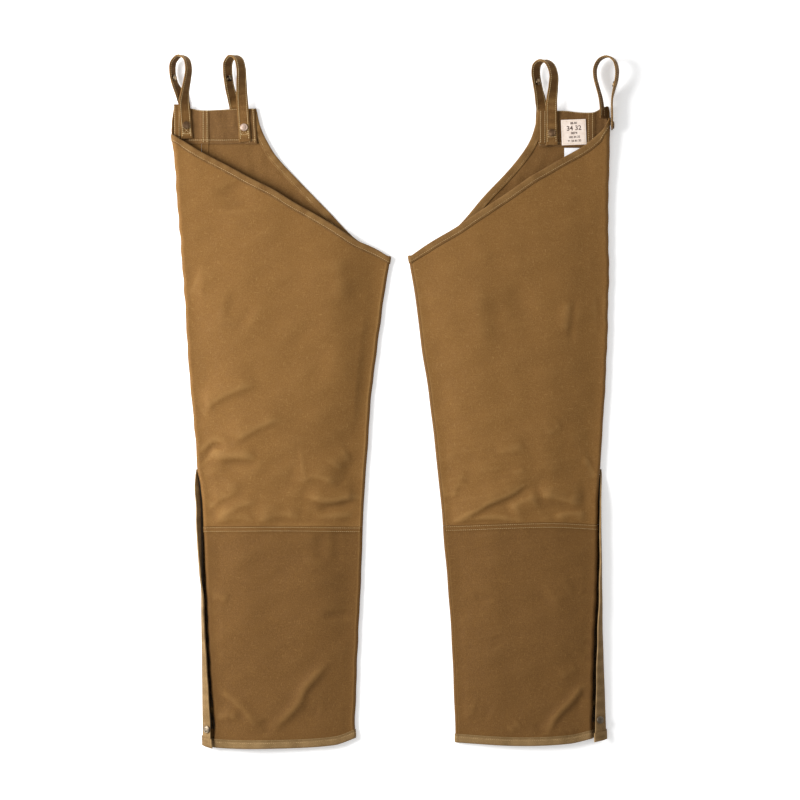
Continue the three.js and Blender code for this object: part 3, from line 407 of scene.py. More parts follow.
class Leg:
    """The leg as a flattened tube. s goes round it: 0-1 the front from the inner seam out, 1-2 the
    outer fold, 2-3 under it to the felled seam, 3-4 along the back, 4-5 up round the inner edge."""

    def __init__(self, data):
        self.data = data
        self.name, self.side = data["name"], data["side"]
        self.curves = [Curve([(row[0], row[i]) for row in data["outline"]]) for i in range(1, 5)]
        self.seam = Curve(data["seam"], straight=True)
        self.waist, self.knee, self.hem = (Curve(data[k]) for k in ("waist", "knee", "hem"))
        self.front_cut = CutLine(data["front_cut"])
        self.back_cut = CutLine(data["back_cut"])
        self.front_top = Curve(data["front_cut"])
        self.flap_free = Curve([(r[0], r[1]) for r in data["flap"]])
        self.flap_rise = Curve([(r[0], r[2]) for r in data["flap"]])
        self.flap_top, self.flap_low = data["flap"][0][0], data["flap"][-1][0]
        self.hem_end = data["hem"][-1][1]
        self.waist_seam = float(self.seam(SEAM_TOP))
        self.seed = 20 if self.side < 0 else 60
        self.relief = Relief(data["folds"], self.seed)

    def edge(self, y):
        return self.curves[0](y)

    def measures(self, y):
        """Radius of the outer fold, the flat part's outer and inner ends, the front's rise, the seam."""
        edge, inner, fold, loft = (curve(y) for curve in self.curves)
        edge = edge + 0.5 * swell(y * 0, y, 46, self.seed)
        inner = inner + 0.4 * swell(y * 0, y, 60, self.seed + 1)
        return fold, edge - HALF - fold, inner + HALF + INSEAM_FOLD, loft, self.seam(y)

    def front_relief(self, w, y):
        return self.relief.at(self.relief.height, w, y)

    def back_relief(self, w, y):
        knee = np.exp(-(((y + 150) / 90) ** 2))
        rest = np.clip((FADE_END - y) / 60, 0, 1)
        up = 0.5 + 0.5 * swell(w, y * 1.7, 58, self.seed + 5)
        return 0.35 * swell(w, y, 30, self.seed + 6) * (1 - rest) + knee * rest * np.maximum(up, 0)

    def ring(self, s, y, lift=0.0):
        """Middle points of the wall."""
        s, y, lift = np.broadcast_arrays(np.asarray(s, float), np.asarray(y, float), lift)
        fold, outer, inner, loft, seam = self.measures(y)
        crown = smoothstep(4 * s * (1 - s))
        front_w = lerp(inner + GAP, outer, s)
        front_z = HALF + lerp(2 * INSEAM_FOLD, 2 * fold, s) + loft * crown
        front_z = front_z + self.front_relief(front_w, y) * np.minimum(1, 5 * crown)
        back_w = lerp(seam - GAP / 2, inner, s - 3)
        settled = smoothstep((s - 3) * 12) * smoothstep((4 - s) * 12)
        back_z = HALF + lift + self.back_relief(back_w, y) * settled
        turn, curl = np.pi * (s - 1), np.pi * (s - 4)
        zones = [s <= 1, s <= 2, s < 3, s <= 4]
        w = np.select(zones, [front_w, outer + fold * np.sin(turn),
                              lerp(outer, seam + GAP / 2, s - 2), back_w],
                      inner - INSEAM_FOLD * np.sin(curl))
        z = np.select(zones, [front_z, HALF + fold * (1 + np.cos(turn)) + lift * (s - 1),
                              HALF + lift + 0 * s, back_z],
                      HALF + INSEAM_FOLD * (1 - np.cos(curl)) + lift * (5 - s))
        return np.stack([w, y, z], -1)

    def places(self, s, y, lift=0.0):
        """Middle points of the wall and its outward directions."""
        step = 0.004
        low, high = np.clip(s - step, 0, 5), np.clip(s + step, 0, 5)
        across = self.ring(high, y, lift) - self.ring(low, y, lift)
        up = self.ring(s, y + 1, lift) - self.ring(s, y - 1, lift)
        return self.ring(s, y, lift), unit(np.cross(across, up))

    def front_at(self, w, y):
        _, outer, inner, _, _ = self.measures(y)
        return np.clip((w - inner - GAP) / (outer - inner - GAP), 0, 1)

    def back_at(self, w, y):
        _, outer, inner, _, seam = self.measures(y)
        under = 2 + np.clip((outer - w) / (outer - seam - GAP / 2), 0, 0.999)
        back = 3 + np.clip((seam - GAP / 2 - w) / (seam - GAP / 2 - inner), 0, 1)
        return np.where(w > seam, under, back)

    def w_at(self, s, y):
        return self.ring(s, np.full_like(np.asarray(s, float), y))[..., 0]

    def knee_y(self, s):
        return self.knee(self.w_at(s, -200))

    def hem_y(self, s):
        return self.hem(self.w_at(s, -540))

    def reach(self, cut, innermost):
        """Where a cut line leaves the inner seam, or meets the outer fold."""
        u = np.linspace(0, cut.length, 600)
        w, y = cut.w(u), cut.y(u)
        _, outer, inner, _, _ = self.measures(y)
        return u[np.argmax(w > inner + GAP)] if innermost else u[max(np.argmax(w > outer) - 1, 1)]

    def front_edge_place(self, t, depth):
        """t runs 0-1 along the front's bound edge from the inner seam, then 1-1.5 round the fold."""
        cut = self.front_cut
        start, end = self.reach(cut, True), self.reach(cut, False)
        u = lerp(start, end, np.clip(t, 0, 1))
        nw, ny = cut.inward(u)
        fade = smoothstep((u - start) / 30) * smoothstep((end - u) / 22)
        w = cut.w(u) + depth * nw * fade
        y = cut.y(u) + depth * lerp(-1, ny, fade)
        s = np.where(t <= 0, 0, np.where(t >= 1, 1, self.front_at(w, y)))
        turned, flat = (self.front_top(self.w_at(k, FOLD_TOP)) for k in (np.maximum(t, 1), 1))
        rise = turned - flat
        return np.where(t > 1, t, s), np.where(t > 1, cut.y(end) + rise - depth, y)

    def back_edge_place(self, t, depth):
        """t runs 0-1 down the inner turn's bound edge, then 1-2 along the back's edge to the waist."""
        cut = self.back_cut
        start = self.reach(cut, True)
        u = lerp(start, cut.length, np.clip(t - 1, 0, 1))
        nw, ny = cut.inward(np.minimum(u, cut.length - 1))
        fade = smoothstep((u - start) / 24)
        mitre = smoothstep((u - cut.length + 14) / 14)
        w = cut.w(u) + depth * nw * fade
        y = cut.y(u) + depth * lerp(lerp(-1, ny, fade), -1, mitre)
        s = np.where(t <= 1, 4, self.back_at(w, y))
        return np.where(t < 1, 5 - t, s), y


def waist_lift(y):
    """Room under the back where the yoke lies, fading out below it."""
    return WAIST_LIFT * np.clip((y - FADE_END) / (YOKE_FLAT - FADE_END), 0, 1)


def edge_lift(y, deep):
    """Room under the back's bound edge, fading out below the binding."""
    return np.maximum(waist_lift(y), EDGE_LIFT * np.clip(1 - (deep - y) / 40, 0, 1))


def hem_lift(y, hem):
    """Room under the back's hem, fading out above the binding."""
    return EDGE_LIFT * np.clip((hem + HEM_FADE - y) / (HEM_FADE - HEM_DEPTH), 0, 1)


# ---------------------------------------------------------------- meshes


class Shape:
    """Points, faces, and for each point its place on the cloth and a tone value: paler above 0, for rubbed
    wear and painted highlights, darker below 0, for painted shade.
    """

    def __init__(self):
        self.points, self.faces, self.cloth, self.worn = [], [], [], []
        self.count = 0

    def add(self, points, faces, cloth=None, worn=None):
        points = np.asarray(points, float).reshape(-1, 3)
        n = len(points)
        self.points.append(points)
        self.faces.extend([tuple(int(i) + self.count for i in f) for f in faces])
        self.cloth.append(points[:, :2] if cloth is None else np.asarray(cloth).reshape(-1, 2))
        self.worn.append(np.zeros(n) if worn is None else np.asarray(worn).reshape(-1))
        self.count += n

    def build(self, leg, name, material, slot_name, replaces=()):
        side = leg.side
        points = np.concatenate(self.points) * [side, 1, 1]
        points = (points + [CENTRE[0], CENTRE[1], 0]) * MM
        mesh = bpy.data.meshes.new(name)
        faces = self.faces if side > 0 else [f[::-1] for f in self.faces]
        mesh.from_pydata(points.tolist(), [], faces)
        mesh.update()
        if mesh.validate():
            raise RuntimeError(f"{name} has a bad face")
        mesh.polygons.foreach_set("use_smooth", np.ones(len(mesh.polygons), bool))
        corner = np.empty(len(mesh.loops), int)
        mesh.loops.foreach_get("vertex_index", corner)
        uv = mesh.uv_layers.new(name="cloth")
        uv.data.foreach_set("uv", (np.concatenate(self.cloth)[corner] * MM).ravel().astype(np.float32))
        worn = mesh.attributes.new("worn", "FLOAT", "POINT")
        worn.data.foreach_set("value", np.concatenate(self.worn).astype(np.float32))
        work = bmesh.new()
        work.from_mesh(mesh)
        if work.calc_volume(signed=True) < 0:
            bmesh.ops.reverse_faces(work, faces=work.faces)
            work.to_mesh(mesh)
        work.free()
        mesh.set_sharp_from_angle(angle=math.radians(48))
        obj = bpy.data.objects.new(name, mesh)
        bpy.context.collection.objects.link(obj)
        return finish_piece(obj, material, replaces)


def finish_piece(obj, material, replaces=()):
    """Gives a piece its material, its body, and the nodes that it stands for."""
    obj.data.materials.clear()
    obj.data.materials.append(material)
    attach(obj, "root")
    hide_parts(*replaces)
    return obj


def world(leg, point):
    """A place in the leg's own frame as one in the scene, in metres."""
    return Vector(((leg.side * point[0] + CENTRE[0]) * MM, (point[1] + CENTRE[1]) * MM, point[2] * MM))


def put_in_place(obj, leg, point, normal):
    """Turns a piece made at the origin onto its place, and writes the turn into its mesh."""
    axis = Vector((leg.side * normal[0], normal[1], normal[2])).normalized()
    turn = axis.to_track_quat("Z", "Y").to_matrix().to_4x4()
    obj.data.transform(Matrix.Translation(world(leg, point)) @ turn)
    obj.data.update()


def start_primitive(kind, **settings):
    """Adds a primitive at the origin, with nothing else selected."""
    if bpy.ops.object.select_all.poll():
        bpy.ops.object.select_all(action="DESELECT")
    kind(location=(0, 0, 0), **settings)
    return bpy.context.object


def lengths_along(points):
    """Distance along the first axis of a grid of points."""
    steps = np.linalg.norm(np.diff(points, axis=0), axis=-1)
    return np.concatenate([np.zeros((1,) + steps.shape[1:]), np.cumsum(steps, axis=0)])


def upwards(points):
    """Directions straight up, one for each point."""
    return np.broadcast_to(UP, points.shape)


def sheet_shape(points, normals, outer, inner, keep=None, worn=None):
    """A closed thin wall on a grid of points [column, row]."""
    shape = Shape()
    cols, rows = points.shape[:2]
    outer, inner = (np.broadcast_to(h, (cols, rows))[..., None] for h in (outer, inner))
    index = np.arange(cols * rows).reshape(cols, rows)
    kept = np.ones((cols - 1, rows - 1), bool) if keep is None else keep
    a, b = index[:-1, :-1][kept], index[1:, :-1][kept]
    c, d = index[1:, 1:][kept], index[:-1, 1:][kept]
    quads = np.stack([a, d, c, b], -1)
    depth = cols * rows
    edges = {(int(q[i]), int(q[(i + 1) % 4])) for q in quads for i in range(4)}
    rim = [(q, p, p + depth, q + depth) for p, q in edges if (q, p) not in edges]
    faces = [*map(tuple, quads), *map(tuple, quads[:, ::-1] + depth), *rim]
    used = np.zeros(2 * depth, bool)
    used[np.unique(quads)] = True
    used[np.unique(quads) + depth] = True
    renumber = np.cumsum(used) - 1
    cloth = np.stack([lengths_along(points), points[..., 1]], -1).reshape(-1, 2)
    both = np.concatenate([(points + normals * height).reshape(-1, 3) for height in (outer, inner)])
    lit_and_shaded_wear = np.zeros(depth) if worn is None else worn.reshape(-1)
    shape.add(both[used], [tuple(renumber[list(f)]) for f in faces],
              np.concatenate([cloth, cloth])[used], np.concatenate([lit_and_shaded_wear, lit_and_shaded_wear])[used])
    shape.flat = flat_size(points, kept)
    return shape


def flat_size(points, kept):
    """Width, length and area of the flat cut of a grid of points, in metres."""
    across = np.linalg.norm(np.diff(points, axis=0), axis=-1)
    down = np.linalg.norm(np.diff(points, axis=1), axis=-1)
    one = np.cross(points[1:, :-1] - points[:-1, :-1], points[:-1, 1:] - points[:-1, :-1])
    two = np.cross(points[1:, :-1] - points[1:, 1:], points[:-1, 1:] - points[1:, 1:])
    area = (np.linalg.norm(one, axis=-1) + np.linalg.norm(two, axis=-1)) / 2
    width, length = across.sum(0).max() * MM, down.sum(1).max() * MM
    return width, length, min(area[kept].sum() * MM * MM, width * length)


def strip_size(length, width):
    """Length, width and area of a straight strip, in metres."""
    return length * MM, width * MM, length * width * MM * MM


def tube_faces(stations, around):
    """Faces of a closed body through that many loops of that many points each."""
    index = np.arange(stations * around).reshape(stations, around)
    after = np.roll(index, -1, axis=1)
    quads = np.stack([index[:-1], after[:-1], after[1:], index[1:]], -1).reshape(-1, 4)
    return [*map(tuple, quads), tuple(index[0][::-1]), tuple(index[-1])]


def tube_shape(loops, cloth, worn):
    """A closed body through a run of closed loops of points [station, point round the loop]."""
    shape = Shape()
    shape.add(loops, tube_faces(*loops.shape[:2]), cloth, worn)
    return shape


# One stitch from end to end: its place along itself, its height and its radius.
STITCH = [(-1.0, -0.35, 0.12), (-0.72, 0.06, 0.30), (0.0, 0.24, 0.34), (0.72, 0.06, 0.30), (1.0, -0.35, 0.12)]
STITCH_SIDES = 5
STRAP_STITCH = 1.35  # the straps are sewn with a heavier thread
STRAP_ROW = 0.72  # a row's place, as a share of a strap's half width
TACK_REACH = 5.5  # half the side of a box tack
SUNK = 0.06
PROUD = 0.02


def add_stitches(shape, points, normals, pitch, length=2.7, size=1.0):
    """Lays a row of stitches along a line of points on the cloth."""
    points, normals = np.asarray(points, float), np.asarray(normals, float)
    along = lengths_along(points)
    count = int(along[-1] / pitch)
    if count < 1:
        return
    centres = (np.arange(count) + 0.5) * along[-1] / count

    def at(x, table):
        return np.stack([np.interp(x, along, table[:, i]) for i in range(3)], -1)

    middle, up = at(centres, points), unit(at(centres, normals))
    run = unit(at(centres + 0.6, points) - at(centres - 0.6, points))
    across = unit(np.cross(up, run))
    faces = tube_faces(len(STITCH), STITCH_SIDES)
    angle = 2 * math.pi * np.arange(STITCH_SIDES)[:, None] / STITCH_SIDES
    for p, u, r, a in zip(middle, up, run, across):
        circle = np.cos(angle) * a + np.sin(angle) * u
        shape.add([p + r * (reach * length / 2) + size * (u * height + circle * radius)
                   for reach, height, radius in STITCH], faces)


# ---------------------------------------------------------------- materials


def colour(code):
    """A colour from its sRGB hex code, as linear numbers."""
    parts = [int(code[i:i + 2], 16) / 255 for i in (1, 3, 5)]
    linear = [p / 12.92 if p <= 0.04045 else ((p + 0.055) / 1.055) ** 2.4 for p in parts]
    return (*linear, 1.0)


def node(tree, kind, inputs, output=0, **settings):
    """Adds a node, sets its inputs or links them to sockets, and gives back one of its outputs."""
    made = tree.nodes.new(kind)
    for key, value in settings.items():
        setattr(made, key, value)
    for key, value in inputs.items():
        if isinstance(value, bpy.types.NodeSocket):
            tree.links.new(value, made.inputs[key])
        else:
            made.inputs[key].default_value = value
    return made.outputs[output] if made.outputs else made


def new_material(name):
    """An empty material and its tree."""
    made = bpy.data.materials.new(name)
    made.use_nodes = True
    made.node_tree.nodes.clear()
    return made, made.node_tree


def finish_surface(tree, inputs):
    """Ends a material with its shader, whose inputs are constants or sockets."""
    shader = node(tree, "ShaderNodeBsdfPrincipled", inputs)
    node(tree, "ShaderNodeOutputMaterial", {"Surface": shader})


def repeats(size):
    """How often a pattern of this size in millimetres comes in a metre."""
    return 1 / (size * MM)


def tinted(tree, tone, *layers):
    """Lays tints over a tone: each has a mask, the mask's range and the tint's share at both ends."""
    for tint, mask, low, high, at_low, at_high in layers:
        share = node(tree, "ShaderNodeMapRange", {0: mask, 1: low, 2: high, 3: at_low, 4: at_high})
        tone = node(tree, "ShaderNodeMix", {0: share, 6: tone, 7: tint}, 2, data_type="RGBA")
    return tone


def woven(tree, thread):
    """Height of a plain weave, 0 to 1, and the cloth's own coordinates. Threads lie this far apart."""
    cloth = node(tree, "ShaderNodeUVMap", {}, uv_map="cloth")
    bands = {"Vector": cloth, "Scale": math.pi / 10 * repeats(thread)}
    warp, weft = (node(tree, "ShaderNodeTexWave", bands, "Fac", bands_direction=way) for way in "XY")
    over = node(tree, "ShaderNodeTexChecker", {"Vector": cloth, "Scale": repeats(thread)}, "Fac")
    return node(tree, "ShaderNodeMix", {"Factor": over, "A": warp, "B": weft}), cloth


def canvas(name, base, dark, light, wax=0.5):
    """Waxed cotton canvas: dull and closely grained, with pale slubs along both threads and darker where wax
    has gathered.
    Each point's tone value makes it paler above 0, rubbed wear and painted highlights, and darker below 0,
    painted shade. More wax gives a little more shine."""
    made, tree = new_material(name)
    dark, light = colour(dark), colour(light)
    place = node(tree, "ShaderNodeTexCoord", {}, "Object")
    clouds = node(tree, "ShaderNodeTexNoise", {
        "Vector": place, "Scale": repeats(111), "Detail": 4.0, "Roughness": 0.55}, "Fac")
    grain = node(tree, "ShaderNodeTexNoise", {
        "Vector": place, "Scale": repeats(1.43), "Detail": 3.0, "Roughness": 0.8}, "Fac")
    rubs = node(tree, "ShaderNodeTexNoise", {
        "Vector": place, "Scale": repeats(10.5), "Detail": 7.0, "Roughness": 0.78, "Distortion": 0.3}, "Fac")
    # Canvas has about two threads a millimetre. They are drawn 0.9 mm apart, as coarse as they show.
    weave, cloth = woven(tree, 0.9)
    tone = tinted(
        tree, base, (dark, clouds, 0.3, 0.62, 0.3, 0.0), (dark, grain, 0.36, 0.5, 0.6, 0.0),
        (light, grain, 0.5, 0.66, 0.0, 0.5), (light, rubs, 0.55, 0.8, 0.0, 0.22))
    for width, length, least in ((1.43, 9.1, 0.66), (11.1, 1.61, 0.68)):
        stretched = node(tree, "ShaderNodeMapping", {
            "Vector": cloth, "Scale": (repeats(width), repeats(length), 1.0)})
        slubs = node(tree, "ShaderNodeTexNoise", {"Vector": stretched, "Scale": 1.0, "Detail": 1.0}, "Fac")
        tone = tinted(tree, tone, (light, slubs, least, least + 0.1, 0.0, 0.7))
    # The points' tone value: above 0 paler, rubbed wear and painted highlights, broken up by the rubs; below
    # 0 darker, painted shade in hollows, stitch grooves and along bindings' edges.
    worn = node(tree, "ShaderNodeAttribute", {}, "Fac", attribute_name="worn")
    patchy = node(tree, "ShaderNodeMapRange", {0: rubs, 1: 0.35, 2: 0.6, 3: 0.7, 4: 1.15})
    broken = node(tree, "ShaderNodeMath", {0: worn, 1: patchy}, operation="MULTIPLY")
    tone = tinted(tree, tone, (light, broken, 0.0, 1.0, 0.0, 0.8), (dark, worn, 0.0, -1.0, 0.0, 0.75))
    rough = node(tree, "ShaderNodeBump", {"Height": grain, "Strength": 0.3, "Distance": 0.6 * MM})
    finish_surface(tree, {
        "Base Color": tone,
        "Roughness": node(tree, "ShaderNodeMapRange", {
            0: rubs, 1: 0.3, 2: 0.7, 3: 0.74 - 0.12 * wax, 4: 0.88 - 0.1 * wax}),
        "Specular IOR Level": 0.14 + 0.1 * wax,
        "Sheen Weight": 0.02,
        "Sheen Roughness": 0.5,
        "Normal": node(tree, "ShaderNodeBump", {
            "Height": weave, "Strength": 0.35, "Distance": 0.22 * MM, "Normal": rough}),
    })
    return made


def sewing_thread(base):
    """Waxed cotton sewing thread: pale and dull, faded in places, with painted shade in the slanted grooves
    between its twisted plies.
    """
    made, tree = new_material("sewing_thread")
    place = node(tree, "ShaderNodeTexCoord", {}, "Object")
    twist_shade = node(tree, "ShaderNodeTexWave", {"Vector": place, "Scale": math.pi / 10 * repeats(0.7)}, "Fac",
                 bands_direction="DIAGONAL")
    fade = node(tree, "ShaderNodeTexNoise", {"Vector": place, "Scale": repeats(25)}, "Fac")
    # Painted shade along the grooves between the plies.
    tone = tinted(tree, base, (colour("#CDB383"), fade, 0.3, 0.7, 0.0, 1.0),
                  (colour("#8A6E40"), twist_shade, 0.0, 1.0, 0.0, 0.35))
    finish_surface(tree, {"Base Color": tone, "Roughness": 0.6})
    return made


def satin(name, base, shade, thread=0.6, roughness=0.55):
    """Smooth woven tape, as in zips and labels: an even tint with the fine ribs of its threads, and painted
    shade between the ribs.
    """
    made, tree = new_material(name)
    shade = colour(shade)
    weave, _ = woven(tree, thread)
    place = node(tree, "ShaderNodeTexCoord", {}, "Object")
    soft = node(tree, "ShaderNodeTexNoise", {"Vector": place, "Scale": repeats(8.33), "Detail": 3.0}, "Fac")
    finish_surface(tree, {
        # An uneven tint, and painted shade in the low places of the weave.
        "Base Color": tinted(tree, colour(base), (shade, soft, 0.35, 0.65, 0.0, 0.6),
                             (shade, weave, 0.0, 1.0, 0.25, 0.0)),
        "Roughness": roughness,
        "Normal": node(tree, "ShaderNodeBump", {"Height": weave, "Strength": 0.3, "Distance": 0.1 * MM}),
    })
    return made


def metal(name, base, worn, roughness):
    """Plated brass that has been handled: a soft shine, with the plating rubbed in patches."""
    made, tree = new_material(name)
    place = node(tree, "ShaderNodeTexCoord", {}, "Object")
    rubs = node(tree, "ShaderNodeTexNoise", {"Vector": place, "Scale": repeats(5.26), "Detail": 5.0}, "Fac")
    finish_surface(tree, {
        "Base Color": tinted(tree, colour(base), (colour(worn), rubs, 0.4, 0.65, 0.0, 1.0)),
        "Metallic": 1.0,
        "Roughness": node(tree, "ShaderNodeMapRange", {
            0: rubs, 1: 0.3, 2: 0.7, 3: roughness - 0.08, 4: roughness + 0.14}),
        "Normal": node(tree, "ShaderNodeBump", {"Height": rubs, "Strength": 0.12, "Distance": 0.2 * MM}),
    })
    return made


MAKERS = {
    "canvas": lambda tints: canvas("waxed_canvas", tints.canvas_colour, "#63431C", "#8A683A"),
    "lower": lambda tints: canvas("waxed_canvas_lower", tints.lower_colour, "#563916", "#7C5B30"),
    "inside": lambda tints: canvas("waxed_canvas_inside", tints.inside_colour, "#593B19", "#7F5F35"),
    "yoke": lambda tints: canvas("waxed_canvas_yoke", tints.yoke_colour, "#523619", "#7A5A32"),
    "binding": lambda tints: canvas("canvas_binding", tints.binding_colour, "#523617", "#86663B", wax=0.2),
    "hem": lambda tints: canvas("canvas_hem_binding", tints.hem_colour, "#5D4626", "#92764F", wax=0.2),
    "webbing": lambda tints: canvas("canvas_strap", tints.strap_colour, "#4E3413", "#866539", wax=0.3),
    "thread": lambda tints: sewing_thread(tints.thread_colour),
    "tape": lambda tints: satin("zip_tape", "#3E2F1E", "#2A1F13", thread=0.7, roughness=0.8),
    "label": lambda tints: satin("woven_label", "#E3D5C9", "#CDB9AA"),
    "care": lambda tints: satin("care_tag", "#F0EFF1", "#E2E1E4", roughness=0.4),
    "print": lambda tints: satin("label_print", "#5C4A40", "#4C3C33"),
    "nickel": lambda tints: metal("aged_nickel", "#C2AC9D", "#A08A7B", 0.55),
    "bronze": lambda tints: metal("dark_bronze", "#5F4833", "#83694F", 0.5),
    "gunmetal": lambda tints: metal("aged_gunmetal", "#5E5346", "#857866", 0.42),
    "socket": lambda tints: metal("snap_socket", "#1C1510", "#A99273", 0.28),
    "brass": lambda tints: metal("zip_brass", "#4A371E", "#2E2213", 0.45),
}
_made = {}


def material(name):
    """Makes each material once, with the colours of the scene's own settings."""
    if name not in _made:
        _made[name] = MAKERS[name](bpy.context.scene.chaps)
    return _made[name]


# ---------------------------------------------------------------- cloth panels

EDGE_DEPTHS = (0.0, 1.2, 3.5, 6.5, 9.0, BINDING_DEPTH)


def lit_and_shaded_wear(leg, s, y):
    """The tone of each place on the front: ridges above 0, paler, partly rubbed wear and partly a painted
    highlight; hollows below 0, darker, painted shade; a painted highlight along the inner seam's edge; and
    the outer fold paler where rubbed.
    """
    w = leg.ring(np.clip(s, 0, 1), y)[..., 0]
    rubbed_and_shaded = 0.5 + 0.5 * swell(s * 40, y, 34, leg.seed + 15)
    # A painted highlight along the inner seam's edge.
    seam = 0.7 * np.exp(-((s / 0.008) ** 2))
    fold = 0.15 * np.clip(rubbed_and_shaded, 0, 1) * np.exp(-(((s - 1.12) / 0.12) ** 2))
    return leg.relief.at(leg.relief.worn, w, y) * smoothstep((1.05 - s) * 12) * 0.5 + seam + fold


def columns_down(s, tops, stops, counts):
    """Places from the top stations down through the stops at constant s. Arrays are [column, row]."""
    top_s, top_y = tops
    rows_s, rows_y = [top_s], [top_y]
    last = top_y[:, -1]
    for stop, count in zip(stops, counts):
        t = np.arange(1, count + 1) / count
        rows_y.append(lerp(last[:, None], stop[:, None], t))
        rows_s.append(np.repeat(s[:, None], count, axis=1))
        last = stop
    return np.concatenate(rows_s, axis=1), np.concatenate(rows_y, axis=1)


def front_columns():
    """Places across the front from the inner seam, then halfway round the outer fold."""
    over = np.concatenate([[0, 0.006, 0.014, 0.024], np.linspace(0.034, 1, 116)])
    return np.concatenate([over, 1 + np.array([0.08, 0.16, 0.24, 0.33, 0.42, 0.5])])


def front_thigh(leg):
    """The upper front, round the outer fold and under to the felled seam above the zip."""
    t = front_columns()
    under = np.array([1.56, 1.63, 1.72, 1.83, 1.92, 2.0, 2.25, 2.5, 2.75, 2.999])
    depth = np.array(EDGE_DEPTHS)
    s, y = leg.front_edge_place(t[:, None], depth[None, :])
    fold_y = y[-1, 0]
    top = lerp(fold_y, leg.waist(leg.w_at(under, WAIST_LEVEL)), smoothstep((under - 1.5) / 0.25))
    s = np.concatenate([s, np.repeat(under[:, None], len(depth), axis=1)])
    y = np.concatenate([y, top[:, None] - depth])
    column = s[:, -1]
    knee = leg.knee_y(column) + GAP / 2
    stops = [np.full(len(column), ZIP_TOP), knee]
    s, y = columns_down(column, (s, y), stops, (150, 46))
    lift = np.where(s > 1, waist_lift(y), 0)
    points, normals = leg.places(s, y, lift)
    keep = np.ones((s.shape[0] - 1, s.shape[1] - 1), bool)
    keep[len(t) - 1:, len(depth) - 1 + 150:] = False
    return sheet_shape(points, normals, HALF, -HALF, keep, lit_and_shaded_wear(leg, s, y))


def front_shin(leg):
    """The lower front, lapped under the upper one with a felled band."""
    t = front_columns()
    column = leg.front_edge_place(t, np.array(BINDING_DEPTH))[0]
    knee, hem = leg.knee_y(column) - GAP / 2, leg.hem_y(column)
    none = column[:, None]
    stops = [knee - 0.8, knee - KNEE_FELL, knee - KNEE_FELL - 1.6, hem + HEM_DEPTH, hem]
    s, y = columns_down(column, (none, knee[:, None]), stops, (1, 5, 1, 126, 4))
    points, normals = leg.places(s, y)
    felled = np.full(s.shape[1], HALF)
    felled[:7] += KNEE_RAISE
    felled[0] -= 0.5  # the band's folded edge is rounded off
    return sheet_shape(points, normals, felled, -HALF, None, lit_and_shaded_wear(leg, s, y))


def back_columns(leg):
    """Stations of the back's upper edge: s, y and how much of the edge is bound, [column, depth]."""
    depth = np.array(EDGE_DEPTHS)
    corner = leg.data["back_cut"][-1][0]
    seam = leg.waist_seam
    across = np.concatenate([
        [seam - 0.16], np.linspace(seam - 1, seam - FELL, 5), [seam - FELL - 0.6],
        np.linspace(seam - FELL - 6, corner + 22, 12), corner + np.array([16, 11, 6.5, 3]),
    ])
    q = np.clip((across - corner) / 22, 0, 1)[:, None]
    w = across[:, None] + depth * 0.98 * (1 - q)
    y = leg.waist(across)[:, None] - depth
    s = leg.back_at(w, y)
    t = np.concatenate([np.linspace(2, 1, 62), np.linspace(0.9, 0, 10)])
    bound_s, bound_y = leg.back_edge_place(t[:, None], depth[None, :])
    bound = np.concatenate([np.zeros(len(across)), np.ones(len(t))])
    return np.concatenate([s, bound_s]), np.concatenate([y, bound_y]), bound


def back_thigh(leg):
    """The upper back, thicker along the felled seam."""
    s, y, bound = back_columns(leg)
    column, deep = s[:, -1], y[:, -1]
    knee = leg.knee_y(column) + GAP / 2
    stops = [deep - 60, np.minimum(FADE_END - 60, deep - 90), np.full(len(column), ZIP_TOP), knee]
    s, y = columns_down(column, (s, y), stops, (14, 12, 40, 12))
    lift = np.maximum(waist_lift(y), bound[:, None] * edge_lift(y, deep[:, None]))
    points, normals = leg.places(s, y, lift)
    seam = leg.seam(y)
    fell = (points[..., 0] > seam - FELL - 0.3) & (y > ZIP_TOP - 8) & (s < 3.5)
    return sheet_shape(points, normals, HALF, -HALF - FELL_RAISE * fell)


def back_calf(leg):
    """The lower back, with room under its hem for the binding."""
    column = back_columns(leg)[0][:, -1]
    knee, hem = leg.knee_y(column) - GAP / 2, leg.hem_y(column)
    stops = [hem + HEM_FADE, hem + HEM_DEPTH, hem]
    s, y = columns_down(column, (column[:, None], knee[:, None]), stops, (60, 6, 3))
    points, normals = leg.places(s, y, hem_lift(y, hem[:, None]))
    return sheet_shape(points, normals, HALF, -HALF)


